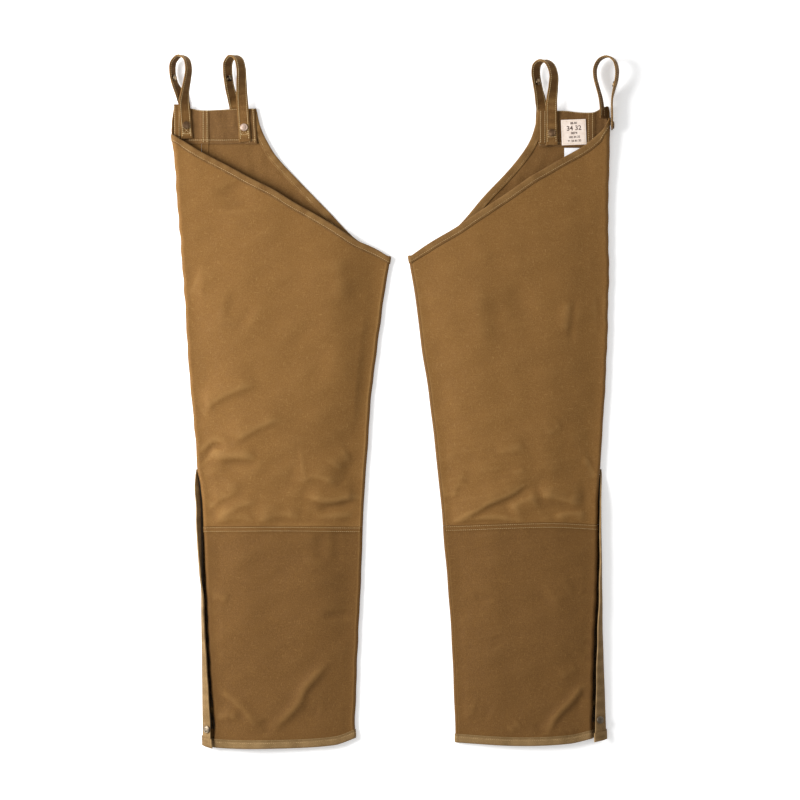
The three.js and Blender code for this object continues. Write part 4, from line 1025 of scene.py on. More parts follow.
def yoke(leg):
    """The waist facing, from its turned-in end over the felled seam and into the outer fold."""
    end, low = leg.data["yoke_end"]
    seam = leg.waist_seam
    outer = float(leg.measures(WAIST_LEVEL)[1])
    x = np.concatenate([
        [0, 0.8, 2.5, 5, 8, 11, 12.6, 14, 16], np.linspace(20, seam - FELL - end - 2, 26),
        seam - end + np.array([-FELL - 0.7, -FELL, -9, -6, -3, 0, 1.2, 2.5]),
        np.linspace(seam - end + 6, outer - end - 1, 5),
    ])
    over = (BINDING + GAP) * (1 - smoothstep((x - YOKE_TURN) / 3))
    past = x - (seam - end)
    felled = FELL_RAISE * smoothstep((past + FELL + 0.7) / 0.7) * smoothstep((2.5 - past) / 2.5)
    turned_s = np.array([1.97, 1.9, 1.82, 1.75])
    up = np.concatenate([over + felled, np.zeros(4)])
    hem = leg.data["yoke_hem"]
    w_top = np.concatenate([end + x, leg.w_at(turned_s, WAIST_LEVEL + 3)])
    top = leg.waist(w_top)
    stops = [top, *(np.full(len(top), hem + rise) for rise in (YOKE_HEM + 0.6, YOKE_HEM, 0.0))]
    rows = [top]
    for above, below, count in zip(stops, stops[1:], (22, 1, 4)):
        rows += [lerp(above, below, k / count) for k in range(1, count + 1)]
    y = np.stack(rows, 1)
    slant = (low - end) * np.clip((top[:, None] - y) / (top - hem)[:, None], 0, 1)
    w = w_top[:, None] + slant * (1 - np.clip(np.append(x, [80] * 4) / 80, 0, 1))[:, None]
    s = leg.back_at(w, y)
    s[len(x):] = turned_s[:, None]
    points, normals = leg.places(s, y, WAIST_LIFT)
    pucker = 0.12 * swell(w, y, 15, leg.seed + 7) + 0.1 * swell(w * 2.2, y * 0.6, 17, leg.seed + 8)
    near = -(HALF + GAP + up)[:, None] - 0.12 - 0.25 * np.abs(pucker)
    far = near - 2 * HALF - 0.6 * (y <= hem + YOKE_HEM + 0.1) - pucker * smoothstep((top[:, None] - y) / 6)
    shape = sheet_shape(points, normals, near, far)
    shape.surface = (points + normals * far[..., None], -normals, x)
    return shape


# ---------------------------------------------------------------- folded bindings

# Across a binding from its own edge to the fold: share of its depth, and share of its thickness.
FOLD_DEPTHS = ((1.0, 0.5), (0.97, 0.78), (0.87, 0.82), (0.80, 0.66), (0.70, 0.86), (0.4, 1.0), (0.12, 0.96))


def folded(leg, station, depth, seed):
    """A binding folded over an edge. station(share of depth) gives s, y and lift for all stations."""
    layers = [(share, level, *leg.places(*station(share * depth))) for share, level in FOLD_DEPTHS]
    edge, normal = leg.places(*station(0.0))
    deep, deep_normal = layers[0][2], layers[0][3]
    out = unit(edge - deep)
    along = lengths_along(edge)
    inside = HALF + GAP
    wave = 0.12 * swell(along, along * 0, 19, seed)

    def height(share, level):
        soft = 1 - abs(share - 0.45) * 1.2
        return (inside + BINDING * level + wave * soft)[:, None]

    outline = [p + n * height(share, level) for share, level, p, n in layers]
    full = height(0.1, 0.92)
    for turn in (25, 55, 90, 125, 155):
        a = math.radians(turn)
        outline.append(edge + normal * full * math.cos(a) + out * 1.45 * math.sin(a))
    outline += [p - n * height(share, level) for share, level, p, n in reversed(layers)]
    outline += [deep - deep_normal * inside, edge - normal * inside, edge + out * 0.28]
    outline += [edge + normal * inside, deep + deep_normal * inside]
    loops = np.stack(outline, axis=1)
    around = np.cumsum(np.linalg.norm(loops - np.roll(loops, 1, axis=1), axis=-1), axis=1)
    cloth = np.stack([np.repeat(along[:, None], loops.shape[1], axis=1), around], -1)
    # The outer face is paler, rubbed. It is darker in the groove where the stitches draw it in, painted
    # shade, and along its own edge, a painted shadow line.
    place = np.arange(loops.shape[1])
    rubbed_and_shaded = np.where(place < 18, 0.25 - 0.7 * (np.abs(place - 2.6) < 1.2), 0)
    worn = rubbed_and_shaded[None, :] + 0.2 * swell(along, along * 0, 26, seed + 1)[:, None]
    worn[:, 0] = -1.5
    shape = tube_shape(loops, cloth, worn)
    shape.flat = strip_size(along[-1], 2 * depth + 3)
    return shape


def front_edge(leg):
    """Stations of the front's bound upper edge, as folded() takes them. The next three are alike."""
    t = np.concatenate([np.linspace(0, 1, 190), 1 + np.linspace(0.1, 0.5, 6)])

    def station(depth):
        s, y = leg.front_edge_place(t, depth)
        return s, y, np.where(s > 1, waist_lift(y), 0)
    return station


def back_edge(leg):
    t = np.concatenate([np.linspace(0, 0.9, 12), np.linspace(1, 2, 150)])

    def station(depth):
        s, y = leg.back_edge_place(t, depth)
        return s, y, np.maximum(waist_lift(y), EDGE_LIFT)
    return station


def front_hem(leg):
    t = np.concatenate([np.linspace(0, 1, 130), 1 + np.linspace(0.1, 0.5, 6)])
    column = leg.front_edge_place(t, np.array(BINDING_DEPTH))[0]
    return lambda depth: (column, leg.hem_y(column) + depth, 0.0)


def back_hem(leg):
    column = np.concatenate([np.linspace(3, 4, 60), np.linspace(4.08, 5, 12)])
    return lambda depth: (column, leg.hem_y(column) + depth, EDGE_LIFT)


# ---------------------------------------------------------------- straps


class Route:
    """A strap's path: a centripetal curve through w, y and z, with a roll at each point."""

    def __init__(self, leg, rows):
        self.leg = leg
        self.points = np.array([r[:3] for r in rows], float)
        self.roll = np.radians([r[3] for r in rows])
        self.last = len(rows) - 1

    def middle(self, r):
        p = self.points
        padded = np.vstack([2 * p[0] - p[1], p, 2 * p[-1] - p[-2]])
        i = np.clip(np.floor(r).astype(int), 0, self.last - 1)
        p0, p1, p2, p3 = (padded[i + k] for k in range(4))
        d01, d12, d23 = (np.sqrt(np.linalg.norm(b - a, axis=-1))[:, None]
                         for a, b in ((p0, p1), (p1, p2), (p2, p3)))
        m1 = (p1 - p0) / d01 - (p2 - p0) / (d01 + d12) + (p2 - p1) / d12
        m2 = (p2 - p1) / d12 - (p3 - p1) / (d12 + d23) + (p3 - p2) / d23
        m1, m2, t = m1 * d12, m2 * d12, (r - i)[:, None]
        t2, t3 = t * t, t * t * t
        return ((2 * t3 - 3 * t2 + 1) * p1 + (t3 - 2 * t2 + t) * m1
                + (3 * t2 - 2 * t3) * p2 + (t3 - t2) * m2)

    def places(self, r):
        """Middle, outward and across directions at each place along the route."""
        r = np.atleast_1d(np.asarray(r, float))
        point = self.middle(r)
        before, after = (self.middle(np.clip(r + step, 0, self.last)) for step in (-0.01, 0.01))
        tangent = unit(after - before)
        roll = np.interp(r, np.arange(self.last + 1), self.roll)
        across = np.stack([self.leg.side * np.cos(roll), 0 * roll, -np.sin(roll)], -1)
        across = unit(across - tangent * (across * tangent).sum(-1, keepdims=True))
        normal = np.cross(tangent, across) * self.leg.side
        resting = (STRAP_WIDTH * np.abs(across[:, 2]) + STRAP_THICKNESS * np.abs(normal[:, 2])) / 2
        point[:, 2] = np.maximum(point[:, 2], resting)
        return point, normal, across


# Round a strap: share of its half width, share of its half thickness. It thins where it is sewn.
STRAP_SECTION = (
    (-1, 0.0), (-0.97, 0.75), (-0.88, 1.0), (-0.72, 0.93), (-0.4, 1.03), (0, 1.05), (0.4, 1.03),
    (0.72, 0.93), (0.88, 1.0), (0.97, 0.75), (1, 0.0), (0.97, -0.75), (0.88, -1.0), (0.72, -0.93),
    (0.4, -1.03), (0, -1.05), (-0.4, -1.03), (-0.72, -0.93), (-0.88, -1.0), (-0.97, -0.75),
)


def strap(leg, route):
    """A belt loop's webbing along its route."""
    r = np.linspace(0, route.last, 9 * route.last + 1)
    point, normal, across = route.places(r)
    along = lengths_along(point)
    section = np.array(STRAP_SECTION)
    wave = 0.05 * swell(along, along * 0, 16, leg.seed + 9)[:, None, None]
    half_width = STRAP_WIDTH / 2 + 0.12 * swell(along, along * 0, 30, leg.seed + 10)[:, None, None]
    loops = (
        point[:, None] + across[:, None] * section[None, :, :1] * half_width
        + normal[:, None] * section[None, :, 1:] * (STRAP_THICKNESS / 2.1 + wave)
    )
    u = np.broadcast_to(along[:, None], loops.shape[:2])
    v = np.broadcast_to(section[:, 0] * STRAP_WIDTH / 2, loops.shape[:2])
    side = np.abs(section[:, 0])
    # Paler along its rubbed edges; darker along the rows where the stitches draw it in, painted shade.
    edge_wear_and_row_shade = 0.7 * (np.abs(side - 0.95) < 0.05) - 0.3 * (np.abs(side - STRAP_ROW) < 0.05)
    worn = edge_wear_and_row_shade[None, :] + 0.35 * swell(along, along * 0, 13, leg.seed + 11)[:, None]
    shape = tube_shape(loops, np.stack([u, v], -1), worn)
    shape.flat = strip_size(along[-1], STRAP_WIDTH)
    return shape


def loop_root(leg):
    """The start of a loop's strap, sewn down on the yoke beside its tail."""
    w, top, low = leg.data["loop_root"]
    u, v = np.meshgrid(np.linspace(-1, 1, 13), np.linspace(0, 1, 26), indexing="ij")
    y = lerp(top, low, v)
    level = ROOT_LEVEL + 0.25 * swell(y, y * 0, 14, leg.seed + 18)
    points = np.stack([w + ROOT_WIDTH / 2 * u, y, level], -1)
    normals = upwards(points)
    thick = 1.0 - 0.45 * np.abs(u) ** 8
    shape = sheet_shape(points, normals, thick, -thick, None, 0.9 * (np.abs(u) > 0.9) - 0.35)
    shape.surface = points + normals * 0.98
    return shape


# ---------------------------------------------------------------- the zip's flap and tapes

# The flap's bends from its root to its free edge: how far along it they come, and the shares of its
# reach and of its rise there.
FLAP_BENDS = np.array([(0, 0, 0), (1 / 3, 0, 0.36), (2 / 3, 0.4, 0.76), (1, 1, 1)])


def flap_places(leg, y, v):
    """Places on the storm flap: v runs from its root to its free edge. Arrays are [v, y]."""
    root = leg.seam(y) + 2 * GAP + FLAP_CANVAS / 2
    free, rise = leg.flap_free(y), leg.flap_rise(y)

    def at(share):
        soft = np.clip(share, 0, 1)
        out, up = (np.interp(soft, FLAP_BENDS[:, 0], FLAP_BENDS[:, k]) for k in (1, 2))
        wave = 0.5 * swell(y, y * 0, 60, leg.seed + 12) * soft
        return np.stack([lerp(root, free, out) + wave, np.broadcast_to(y, out.shape[:-1] + y.shape[-1:]),
                         lerp(FLAP_CANVAS / 2, rise, up)], -1)

    y = np.broadcast_to(y, np.broadcast(v, y).shape)
    v = np.broadcast_to(v, y.shape)
    point = (at(np.clip(v - 0.06, 0, 1)) + at(v) + at(np.clip(v + 0.06, 0, 1))) / 3
    run = unit(at(np.clip(v + 0.08, 0, 1)) - at(np.clip(v - 0.08, 0, 1)))
    normal = np.stack([run[..., 2], 0 * y, -run[..., 0]], -1)
    return point, unit(normal)


def flap_slope(leg, y, v):
    """How far the flap's lower end drops towards its free edge."""
    return 7 * (v - 0.5) * smoothstep((leg.flap_low + HEM_FADE - y) / HEM_FADE)


def flap_binding(leg):
    """The binding folded over the storm flap's lower end."""
    low = leg.flap_low
    v = np.linspace(0, 1, 13)[:, None]
    y = np.linspace(low + HEM_DEPTH, low - 1.0, 12)[None, :]
    point, normal = flap_places(leg, np.maximum(y, low), v)
    across = np.stack([-normal[..., 2], 0 * normal[..., 1], normal[..., 0]], -1)
    point = point + 3.6 * (v[..., None] - 0.5) * across
    point[..., 1] = y - flap_slope(leg, y, v)
    thick = FLAP_CANVAS / 2 + 1.4 - 0.5 * np.abs(2 * v - 1) ** 6 + 0 * y
    rubbed_and_shaded = 0.35 * swell(y + 0 * v, v * 12 + 0 * y, 9, leg.seed + 17)
    return sheet_shape(point, normal, thick, -thick, None, rubbed_and_shaded + 0.9 * (np.abs(2 * v - 1) > 0.9))


def storm_flap(leg):
    """The flap beside the zip, with a turned free edge that is paler: partly rubbed wear and partly a painted
    highlight.
    """
    top, low = leg.flap_top, leg.flap_low
    y = np.concatenate([np.linspace(top, low + HEM_DEPTH, 150), np.linspace(low + HEM_DEPTH - 0.6, low, 8)])
    v = np.linspace(0, 1, 15)
    point, normal = flap_places(leg, y[None, :], v[:, None])
    point[..., 1] -= flap_slope(leg, y[None, :], v[:, None])
    edge = 0.35 * smoothstep((v - 0.8) / 0.06)
    thick = FLAP_CANVAS / 2 + edge[:, None] + 0 * y[None, :]
    # The free edge is paler, partly rubbed wear and partly a painted highlight; the rest varies at random.
    worn = 0.6 * smoothstep((v - 0.9) / 0.1)[:, None] + 0.3 * swell(y, y * 0, 20, leg.seed)[None, :]
    return sheet_shape(point, normal, thick, -thick, None, worn)


def zip_line(leg, y):
    """How far out the zip's middle lies."""
    return np.minimum(leg.edge(y) + 2.5, leg.seam(y) - 3.5)


def zip_level(leg, y):
    """Height of the tapes' middle."""
    return 2 * HALF + GAP + TEETH_RISE + hem_lift(y, leg.hem_end)


def zip_tapes(leg):
    """The two tapes. The outer one stops short at the felled seam."""
    low = leg.hem_end + HEM_DEPTH + 8
    y = np.linspace(ZIP_TOP - 10, low, 90)
    line = zip_line(leg, y)
    far = np.minimum(line + TAPE_WIDTH, leg.seam(y) + 2 * GAP - 0.05)
    level = zip_level(leg, y)
    shapes = []
    for start, end in ((line - TAPE_WIDTH, line - TAPE_APART), (line + TAPE_APART, far)):
        t = np.linspace(0, 1, 5)[:, None]
        w = lerp(start[None], end[None], t)
        points = np.stack([w, y + 0 * w, level + 0 * w], -1)
        shapes.append(sheet_shape(points, upwards(points), TAPE_HALF, -TAPE_HALF))
    return shapes


# ---------------------------------------------------------------- labels


def label():
    """The woven label, sewn down all round on the yoke."""
    (w0, w1), (y0, y1) = LABEL["w"], LABEL["y"]
    skew = LABEL["skew"]
    z = WAIST_LIFT + 4 * HALF + 2 * GAP + 0.6
    u, v = np.meshgrid(np.linspace(0, 1, 34), np.linspace(0, 1, 34), indexing="ij")
    w = lerp(w0, w1, u) + skew * v
    y = lerp(y1, y0, v) + skew * u
    rim = np.minimum(np.minimum(u, 1 - u), np.minimum(v, 1 - v)) * 40
    curl = 0.25 * swell(w, y, 26, 91) * smoothstep(rim / 4)
    points = np.stack([w, y, z + 0.5 + curl * 0.6], -1)
    normals = upwards(points)
    top = 0.5 * smoothstep((rim + 0.7) / 1.4) * (1 - 0.45 * np.exp(-(((rim - 1.9) / 0.6) ** 2)))
    shape = sheet_shape(points, normals, np.maximum(top, 0.12), -0.35)
    shape.surface = points + normals * 0.25
    return shape


def care_tag(leg):
    """A plain tag that hangs inside the back, rippling towards its end."""
    (w0, w1), (y0, y1) = CARE_TAG["w"], CARE_TAG["y"]
    u, v = np.meshgrid(np.linspace(0, 1, 20), np.linspace(0, 1, 34), indexing="ij")
    w, y = lerp(w0, w1, u), lerp(y1, y0, v)
    points, normals = leg.places(leg.back_at(w, y), y, waist_lift(y))
    ripple = 0.5 * (1 + np.sin(u * 5 + v * 2.2)) * v * 0.9
    return sheet_shape(points, normals, -(HALF + GAP + ripple), -(HALF + GAP + 0.45 + ripple))


def size_number(leg, surface, text, height, share):
    """A row of numbers on the label's surface, at a share of the label's length from its head."""
    obj = start_primitive(bpy.ops.object.text_add)
    obj.data.body = text
    obj.data.size = height
    obj.data.align_x = "CENTER"
    obj.data.extrude = 0.00005
    obj.data.offset = 0.00018
    bpy.ops.object.convert(target="MESH")
    obj = bpy.context.object
    made = bmesh.new()
    made.from_mesh(obj.data)
    bmesh.ops.remove_doubles(made, verts=made.verts, dist=1e-6)
    bmesh.ops.recalc_face_normals(made, faces=made.faces)
    made.to_mesh(obj.data)
    made.free()
    place = surface[surface.shape[0] // 2, int(share * (surface.shape[1] - 1))] + 0.35 * UP
    turn = Matrix.Rotation(math.radians(LABEL["tilt"]), 4, "Z")
    obj.data.transform(Matrix.Translation(world(leg, place)) @ turn)
    obj.name = "right_label_number_" + text.replace(" ", "_")
    finish_piece(obj, material("print"))


# ---------------------------------------------------------------- stitching


def stitch_row(shape, leg, s, y, lift, height, pitch, size=0.8):
    """A row of stitches that follows the leg's wall."""
    points, normals = leg.places(s, y, lift)
    add_stitches(shape, points + normals * height, normals, pitch, size=size)


def cross_stitch(shape, centre, along, across, normal):
    """A box tack with a cross in it."""
    corners = [centre + TACK_REACH * (along * a + across * b)
               for a, b in ((-1, -1), (-1, 1), (1, 1), (1, -1))]
    for a, b in ((0, 1), (1, 2), (2, 3), (3, 0), (0, 2), (1, 3)):
        run = np.linspace(corners[a], corners[b], 6)
        add_stitches(shape, run, np.broadcast_to(normal, run.shape), 2.6, length=2.2)


def strap_stitches(shape, route, pitch):
    """Two rows on each face of a strap, and a tack where its tail is sewn down."""
    point, normal, across = route.places(np.linspace(0.3, route.last - 0.2, 160))
    for face in (1, -1):
        for side in (-1, 1):
            lift = STRAP_THICKNESS / 2 - SUNK
            line = point + across * side * STRAP_ROW * STRAP_WIDTH / 2 + normal * face * lift
            add_stitches(shape, line, normal * face, pitch, size=STRAP_STITCH)
    p, n, a = (x[0] for x in route.places(route.last - 0.75))
    cross_stitch(shape, p + n * (STRAP_THICKNESS / 2 + PROUD), unit(np.cross(n, a)), a, n)


def yoke_stitches(shape, leg, pitch):
    """Rows at the turned-in end and along the felled seam, and the hems above and below."""
    surface, normals, x = yoke(leg).surface
    seam = leg.waist_seam - leg.data["yoke_end"][0]
    for distance in (2.2, YOKE_TURN - 1.5, seam - FELL + 2.2, seam - 2.2):
        k = int(np.argmin(np.abs(x - distance)))
        add_stitches(shape, surface[k, :-1] + normals[k, :-1] * PROUD, normals[k, :-1], pitch, size=1.3)
    add_stitches(shape, surface[:-6, -4] + normals[:-6, -4] * PROUD, normals[:-6, -4], pitch)
    top = lerp(surface[:-6, 1], surface[:-6, 0], 0.55)
    add_stitches(shape, top + normals[:-6, 1] * PROUD, normals[:-6, 1], pitch)


def stitching(leg, pitch):
    """All the stitch rows of a leg."""
    shape = Shape()
    bound = HALF + GAP + BINDING * 0.7
    for edge, height in ((front_edge, bound), (back_edge, bound), (back_edge, -bound)):
        stitch_row(shape, leg, *edge(leg)(BINDING_DEPTH * 0.7), height, pitch)
    for edge in (front_hem, back_hem):
        stitch_row(shape, leg, *edge(leg)(HEM_DEPTH * 0.6), bound, pitch, size=0.6)
    s = front_columns()
    s = s[s <= 1.4]
    for below in (1.9, KNEE_FELL - 1.4):
        stitch_row(shape, leg, s, leg.knee_y(s) - GAP / 2 - below, 0.0, HALF + KNEE_RAISE, pitch, size=0.62)
    for name in ("back_loop", "hip_loop"):
        strap_stitches(shape, Route(leg, leg.data[name]), pitch)
    root = loop_root(leg).surface
    for k in (2, -3):
        add_stitches(shape, root[k, 1:-1], upwards(root[k, 1:-1]), pitch, size=STRAP_STITCH)
    yoke_stitches(shape, leg, pitch)
    if leg.name == "right":
        rim = label().surface
        for line in (rim[2, 2:-2], rim[2:-2, 2], rim[-3, 2:-2], rim[2:-2, -3]):
            add_stitches(shape, line, upwards(line), 2.4, length=1.9, size=0.75)
    return shape


# ---------------------------------------------------------------- hard pieces


def snap_cap(name):
    """A domed cap: a disc with a rolled rim."""
    obj = start_primitive(bpy.ops.mesh.primitive_cylinder_add, vertices=40, radius=0.0059, depth=0.0018)
    obj.name = name
    bpy.ops.object.mode_set(mode="EDIT")
    bpy.ops.mesh.select_all(action="DESELECT")
    bpy.ops.object.mode_set(mode="OBJECT")
    for face in obj.data.polygons:
        face.select = face.normal.z > 0.9
    bpy.ops.object.mode_set(mode="EDIT")
    for thickness, depth in ((0.0007, 0.0003), (0.0005, -0.00035), (0.0009, 0.00035), (0.0015, 0.0002)):
        bpy.ops.mesh.inset(thickness=thickness, depth=depth)
    bpy.ops.object.mode_set(mode="OBJECT")
    soften(obj, 0.00022)
    obj.data.transform(Matrix.Translation((0, 0, 0.0009)))
    return obj


def snap_stud(name):
    """A hollow stud with a rounded lip."""
    obj = start_primitive(bpy.ops.mesh.primitive_cylinder_add, vertices=36, radius=0.0048, depth=0.0011)
    obj.name = name
    for face in obj.data.polygons:
        face.select = face.normal.z > 0.9
    bpy.ops.object.mode_set(mode="EDIT")
    bpy.ops.mesh.inset(thickness=0.0006, depth=0)
    bpy.ops.mesh.extrude_region_move(TRANSFORM_OT_translate={"value": (0, 0, 0.001)})
    bpy.ops.mesh.inset(thickness=0.0016, depth=0)
    bpy.ops.mesh.extrude_region_move(TRANSFORM_OT_translate={"value": (0, 0, -0.0014)})
    bpy.ops.object.mode_set(mode="OBJECT")
    soften(obj, 0.00025)
    obj.data.transform(Matrix.Translation((0, 0, 0.00055)))
    return obj


def soften(obj, width, segments=2):
    """Rounds a hard piece's edges with an applied bevel."""
    bevel = obj.modifiers.new("rounding", "BEVEL")
    bevel.width = width
    bevel.segments = segments
    bevel.limit_method = "ANGLE"
    bevel.angle_limit = math.radians(28)
    bpy.ops.object.modifier_apply(modifier=bevel.name)
    bpy.ops.object.shade_smooth()
    obj.data.set_sharp_from_angle(angle=math.radians(40))


def zip_slider(name):
    """A slider's top plate: a block drawn in at its lower end, with a ridge for the pull."""
    obj = start_primitive(bpy.ops.mesh.primitive_cube_add, size=1.0)
    obj.name = name
    obj.scale = (0.0084, 0.010, SLIDER_PLATE * MM)
    bpy.ops.object.transform_apply(location=False, rotation=False, scale=True)
    for vertex in obj.data.vertices:
        if vertex.co.y < 0:
            vertex.co.x *= 0.72
    for face in obj.data.polygons:
        face.select = face.normal.z > 0.9
    bpy.ops.object.mode_set(mode="EDIT")
    bpy.ops.mesh.inset(thickness=0.0013, depth=0.0004)
    bpy.ops.object.mode_set(mode="OBJECT")
    soften(obj, 0.0004)
    return obj


def zip_teeth(leg, name):
    """The closed zip's metal teeth, joined along the zip."""
    tooth = start_primitive(bpy.ops.mesh.primitive_cube_add, size=1.0)
    tooth.scale = (0.0034, 0.0011, 0.0013)
    bpy.ops.object.transform_apply(location=False, rotation=False, scale=True)
    soften(tooth, 0.00025, 1)
    low = leg.hem_end + HEM_DEPTH + 9
    heights = np.arange(ZIP_TOP - 12, low, -TOOTH_PITCH / 2)
    base = np.array([v.co for v in tooth.data.vertices]) / MM * [1, 0.8, 1]
    faces = [tuple(p.vertices) for p in tooth.data.polygons]
    shape = Shape()
    for i, y in enumerate(heights):
        shift = 0.35 if i % 2 else -0.35
        if abs(y - leg.hem_end - SLIDER_RISE) > 5.4:
            shape.add(base + [zip_line(leg, y) + shift, y, zip_level(leg, y) + 0.05], faces)
    bpy.data.objects.remove(tooth)
    return shape.build(leg, name, material("brass"), "slider_metal")


# ---------------------------------------------------------------- the add-on


def size_setting(name, description, default, least):
    return FloatProperty(
        name=name, description=description, default=default, min=least, unit="LENGTH", subtype="DISTANCE")


def colour_setting(name, description, code):
    return FloatVectorProperty(
        name=name, description=description, default=colour(code), size=4, min=0.0, max=1.0, subtype="COLOR")


class ChapsSettings(bpy.types.PropertyGroup):
    stitch_pitch: size_setting("Stitch pitch", "Distance between two stitches", 0.0033, 0.002)
    floor_size: size_setting("Floor size", "Side of the pale floor", 7.0, 2.0)
    canvas_colour: colour_setting("Canvas", "Tint of the upper fronts", "#714E22")
    lower_colour: colour_setting("Lower canvas", "Tint of the shins and calves", "#63431B")
    inside_colour: colour_setting("Back canvas", "Tint of the upper backs", "#67471F")
    yoke_colour: colour_setting("Yoke", "Tint of the waist yokes", "#604320")
    binding_colour: colour_setting("Binding", "Tint of the bindings at the waist", "#674924")
    hem_colour: colour_setting("Hem", "Tint of the hem bindings and storm flaps", "#755C3A")
    strap_colour: colour_setting("Straps", "Tint of the belt loops", "#65451F")
    thread_colour: colour_setting("Thread", "Tint of the sewing thread", "#B89D6A")


LEGS = [Leg(LEFT_LEG), Leg(RIGHT_LEG)]


def lay_cloth(leg, part, shape, look, slot_name, stands_for=True):
    name = f"{leg.name}_{part}"
    obj = shape.build(leg, name + "_cloth", material(look), slot_name, [name] if stands_for else [])


class CHAPS_OT_panels(bpy.types.Operator):
    """Lays out the canvas panels of both legs"""
    bl_idname = "chaps.panels"
    bl_label = "Panels"

    def execute(self, context):
        for leg in LEGS:
            lay_cloth(leg, "back_thigh", back_thigh(leg), "inside", "canvas")
            lay_cloth(leg, "front_thigh", front_thigh(leg), "canvas", "canvas")
            lay_cloth(leg, "back_calf", back_calf(leg), "lower", "canvas_lower")
            lay_cloth(leg, "front_shin", front_shin(leg), "lower", "canvas_lower")
        return {"FINISHED"}


class CHAPS_OT_bindings(bpy.types.Operator):
    """Folds the bindings over the upper edges and the hems"""
    bl_idname = "chaps.bindings"
    bl_label = "Bindings"

    def execute(self, context):
        rows = (
            ("front_binding", front_edge, BINDING_DEPTH, "binding"),
            ("back_binding", back_edge, BINDING_DEPTH, "binding"),
            ("front_hem_binding", front_hem, HEM_DEPTH, "hem"),
            ("back_hem_binding", back_hem, HEM_DEPTH, "hem"),
        )
        for leg in LEGS:
            for k, (part, edge, depth, look) in enumerate(rows):
                shape = folded(leg, edge(leg), depth, leg.seed + 13 + k)
                lay_cloth(leg, part, shape, look, "binding")
        return {"FINISHED"}


class CHAPS_OT_yokes(bpy.types.Operator):
    """Lays the waist yokes inside the backs"""
    bl_idname = "chaps.yokes"
    bl_label = "Yokes"

    def execute(self, context):
        for leg in LEGS:
            lay_cloth(leg, "yoke", yoke(leg), "yoke", "canvas")
        return {"FINISHED"}


class CHAPS_OT_loops(bpy.types.Operator):
    """Stands the belt loops up from the waist"""
    bl_idname = "chaps.loops"
    bl_label = "Belt loops"

    def execute(self, context):
        for leg in LEGS:
            for part in ("back_loop", "hip_loop"):
                lay_cloth(leg, part, strap(leg, Route(leg, leg.data[part])), "webbing", "webbing")
            lay_cloth(leg, "loop_root", loop_root(leg), "webbing", "webbing", stands_for=False)
        return {"FINISHED"}


class CHAPS_OT_zips(bpy.types.Operator):
    """Builds the zips and the storm flaps beside them"""
    bl_idname = "chaps.zips"
    bl_label = "Zips"

    def execute(self, context):
        for leg in LEGS:
            lay_cloth(leg, "storm_flap", storm_flap(leg), "hem", "binding")
            lay_cloth(leg, "flap_hem_binding", flap_binding(leg), "hem", "binding",
                      stands_for=False)
            for part, tape in zip(("zip_tape_front", "zip_tape_back"), zip_tapes(leg)):
                lay_cloth(leg, part, tape, "tape", "zip_tape")
            zip_teeth(leg, leg.name + "_zip_teeth")
            obj = zip_slider(leg.name + "_zip_slider_metal")
            y = leg.hem_end + SLIDER_RISE
            z = float(zip_level(leg, y)) + TEETH_RISE + GAP + SLIDER_PLATE / 2
            put_in_place(obj, leg, (float(zip_line(leg, y)), y, z), (0, 0, 1))
            finish_piece(obj, material("brass"), [leg.name + "_zip_slider"])
        return {"FINISHED"}


class CHAPS_OT_snaps(bpy.types.Operator):
    """Sets the snaps on the belt loops and at the hems"""
    bl_idname = "chaps.snaps"
    bl_label = "Snaps"

    def execute(self, context):
        for leg in LEGS:
            for part, (cap, stud) in leg.data["snaps"].items():
                route = Route(leg, leg.data[part + "_loop"])
                look = "nickel" if (leg.name, part) == ("left", "back") else "bronze"
                halves = (("cap", snap_cap, cap, 1, GAP, look, "snap_metal"),
                          ("stud", snap_stud, stud, -1, 2 * GAP, "socket", "stud_metal"))
                for kind, make, place, face, gap, metal_name, slot_name in halves:
                    point, normal, _ = (x[0] for x in route.places(place))
                    name = f"{leg.name}_{part}_{kind}"
                    obj = make(name + "_metal")
                    out = normal * face
                    put_in_place(obj, leg, point + out * (STRAP_THICKNESS / 2 + gap), out)
                    finish_piece(obj, material(metal_name), [name])
            y = np.array([[leg.data["hem_snap"]]], float)
            point, normal = (x[0, 0] for x in flap_places(leg, y, np.array([[HEM_SNAP_SHARE]])))
            obj = snap_cap(leg.name + "_hem_cap_metal")
            put_in_place(obj, leg, point + normal * (FLAP_CANVAS / 2 + GAP), normal)
            finish_piece(obj, material("gunmetal"), [leg.name + "_hem_cap"])
        return {"FINISHED"}


class CHAPS_OT_labels(bpy.types.Operator):
    """Lays the label, its size numbers and the care tag inside the right waist"""
    bl_idname = "chaps.labels"
    bl_label = "Labels"

    def execute(self, context):
        leg = LEGS[1]
        shape = label()
        lay_cloth(leg, "label", shape, "label", "label")
        for row in LABEL_NUMBERS:
            size_number(leg, shape.surface, *row)
        lay_cloth(leg, "care_tag", care_tag(leg), "care", "care_tag")
        return {"FINISHED"}


class CHAPS_OT_stitching(bpy.types.Operator):
    """Sews the stitch rows of both legs"""
    bl_idname = "chaps.stitching"
    bl_label = "Stitching"

    def execute(self, context):
        for leg in LEGS:
            shape = stitching(leg, context.scene.chaps.stitch_pitch / MM)
            shape.build(leg, leg.name + "_stitching", material("thread"), "binding")
        return {"FINISHED"}


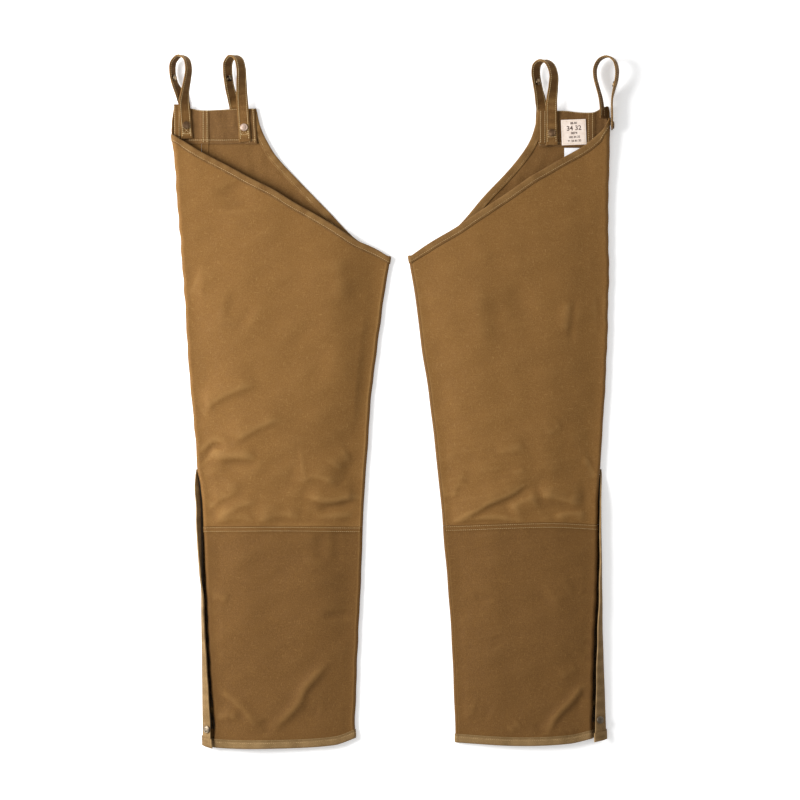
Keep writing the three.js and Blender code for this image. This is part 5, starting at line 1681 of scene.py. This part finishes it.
class CHAPS_OT_stage(bpy.types.Operator):
    """Sets the floor, the light and the camera"""
    bl_idname = "chaps.stage"
    bl_label = "Stage"

    def execute(self, context):
        scene = context.scene
        floor = start_primitive(bpy.ops.mesh.primitive_plane_add, size=scene.chaps.floor_size)
        floor.name = "floor"
        paper, tree = new_material("pale_floor")
        place = node(tree, "ShaderNodeTexCoord", {}, "Object")
        soft = node(tree, "ShaderNodeTexNoise", {"Vector": place, "Scale": repeats(333)}, "Fac")
        finish_surface(tree, {
            "Base Color": tinted(tree, colour("#F5F5F5"), (colour("#F2F2F2"), soft, 0.3, 0.7, 0.0, 1.0)),
            "Roughness": 0.9, "Emission Color": colour("#FFFFFF"), "Emission Strength": FLOOR_GLOW,
        })
        floor.data.materials.append(paper)
        key = bpy.data.lights.new("key", "AREA")
        key.shape = "DISK"
        key.size = KEY_WIDTH
        key.energy = KEY_POWER
        lamp = bpy.data.objects.new("key", key)
        lamp.location = KEY_PLACE
        lamp.rotation_euler = (-lamp.location).to_track_quat("-Z", "Y").to_euler()
        scene.collection.objects.link(lamp)
        sky = bpy.data.worlds.new("studio")
        sky.use_nodes = True
        background = sky.node_tree.nodes["Background"]
        background.inputs["Color"].default_value = colour("#FFFFFF")
        background.inputs["Strength"].default_value = SKY_STRENGTH
        scene.world = sky
        view = bpy.data.cameras.new("camera")
        view.sensor_width = 36
        view.lens = view.sensor_width * EYE_HEIGHT / VIEW_WIDTH
        view.clip_end = 30
        eye = bpy.data.objects.new("camera", view)
        eye.location = (*VIEW_MIDDLE, EYE_HEIGHT)
        scene.collection.objects.link(eye)
        scene.camera = eye
        scene.view_settings.view_transform = "Standard"
        return {"FINISHED"}


class CHAPS_PT_panel(bpy.types.Panel):
    bl_idname = "CHAPS_PT_panel"
    bl_label = "Chaps"
    bl_space_type = "VIEW_3D"
    bl_region_type = "UI"
    bl_category = "Chaps"

    def draw(self, context):
        for name in ChapsSettings.__annotations__:
            self.layout.prop(context.scene.chaps, name)
        for operator in OPERATORS:
            self.layout.operator(operator.bl_idname)


OPERATORS = (
    CHAPS_OT_panels, CHAPS_OT_bindings, CHAPS_OT_yokes, CHAPS_OT_loops, CHAPS_OT_zips,
    CHAPS_OT_snaps, CHAPS_OT_labels, CHAPS_OT_stitching, CHAPS_OT_stage,
)
CLASSES = (ChapsSettings, *OPERATORS, CHAPS_PT_panel)


def register():
    for cls in CLASSES:
        bpy.utils.register_class(cls)
    bpy.types.Scene.chaps = PointerProperty(type=ChapsSettings)


def unregister():
    del bpy.types.Scene.chaps
    for cls in reversed(CLASSES):
        bpy.utils.unregister_class(cls)


def main():
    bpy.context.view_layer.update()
    register()
    for operator in OPERATORS:
        name = operator.bl_idname.split(".")[1]
        if getattr(bpy.ops.chaps, name)() != {"FINISHED"}:
            raise RuntimeError(f"{operator.bl_label} didn't finish")


if __name__ == "__main__":
    main()
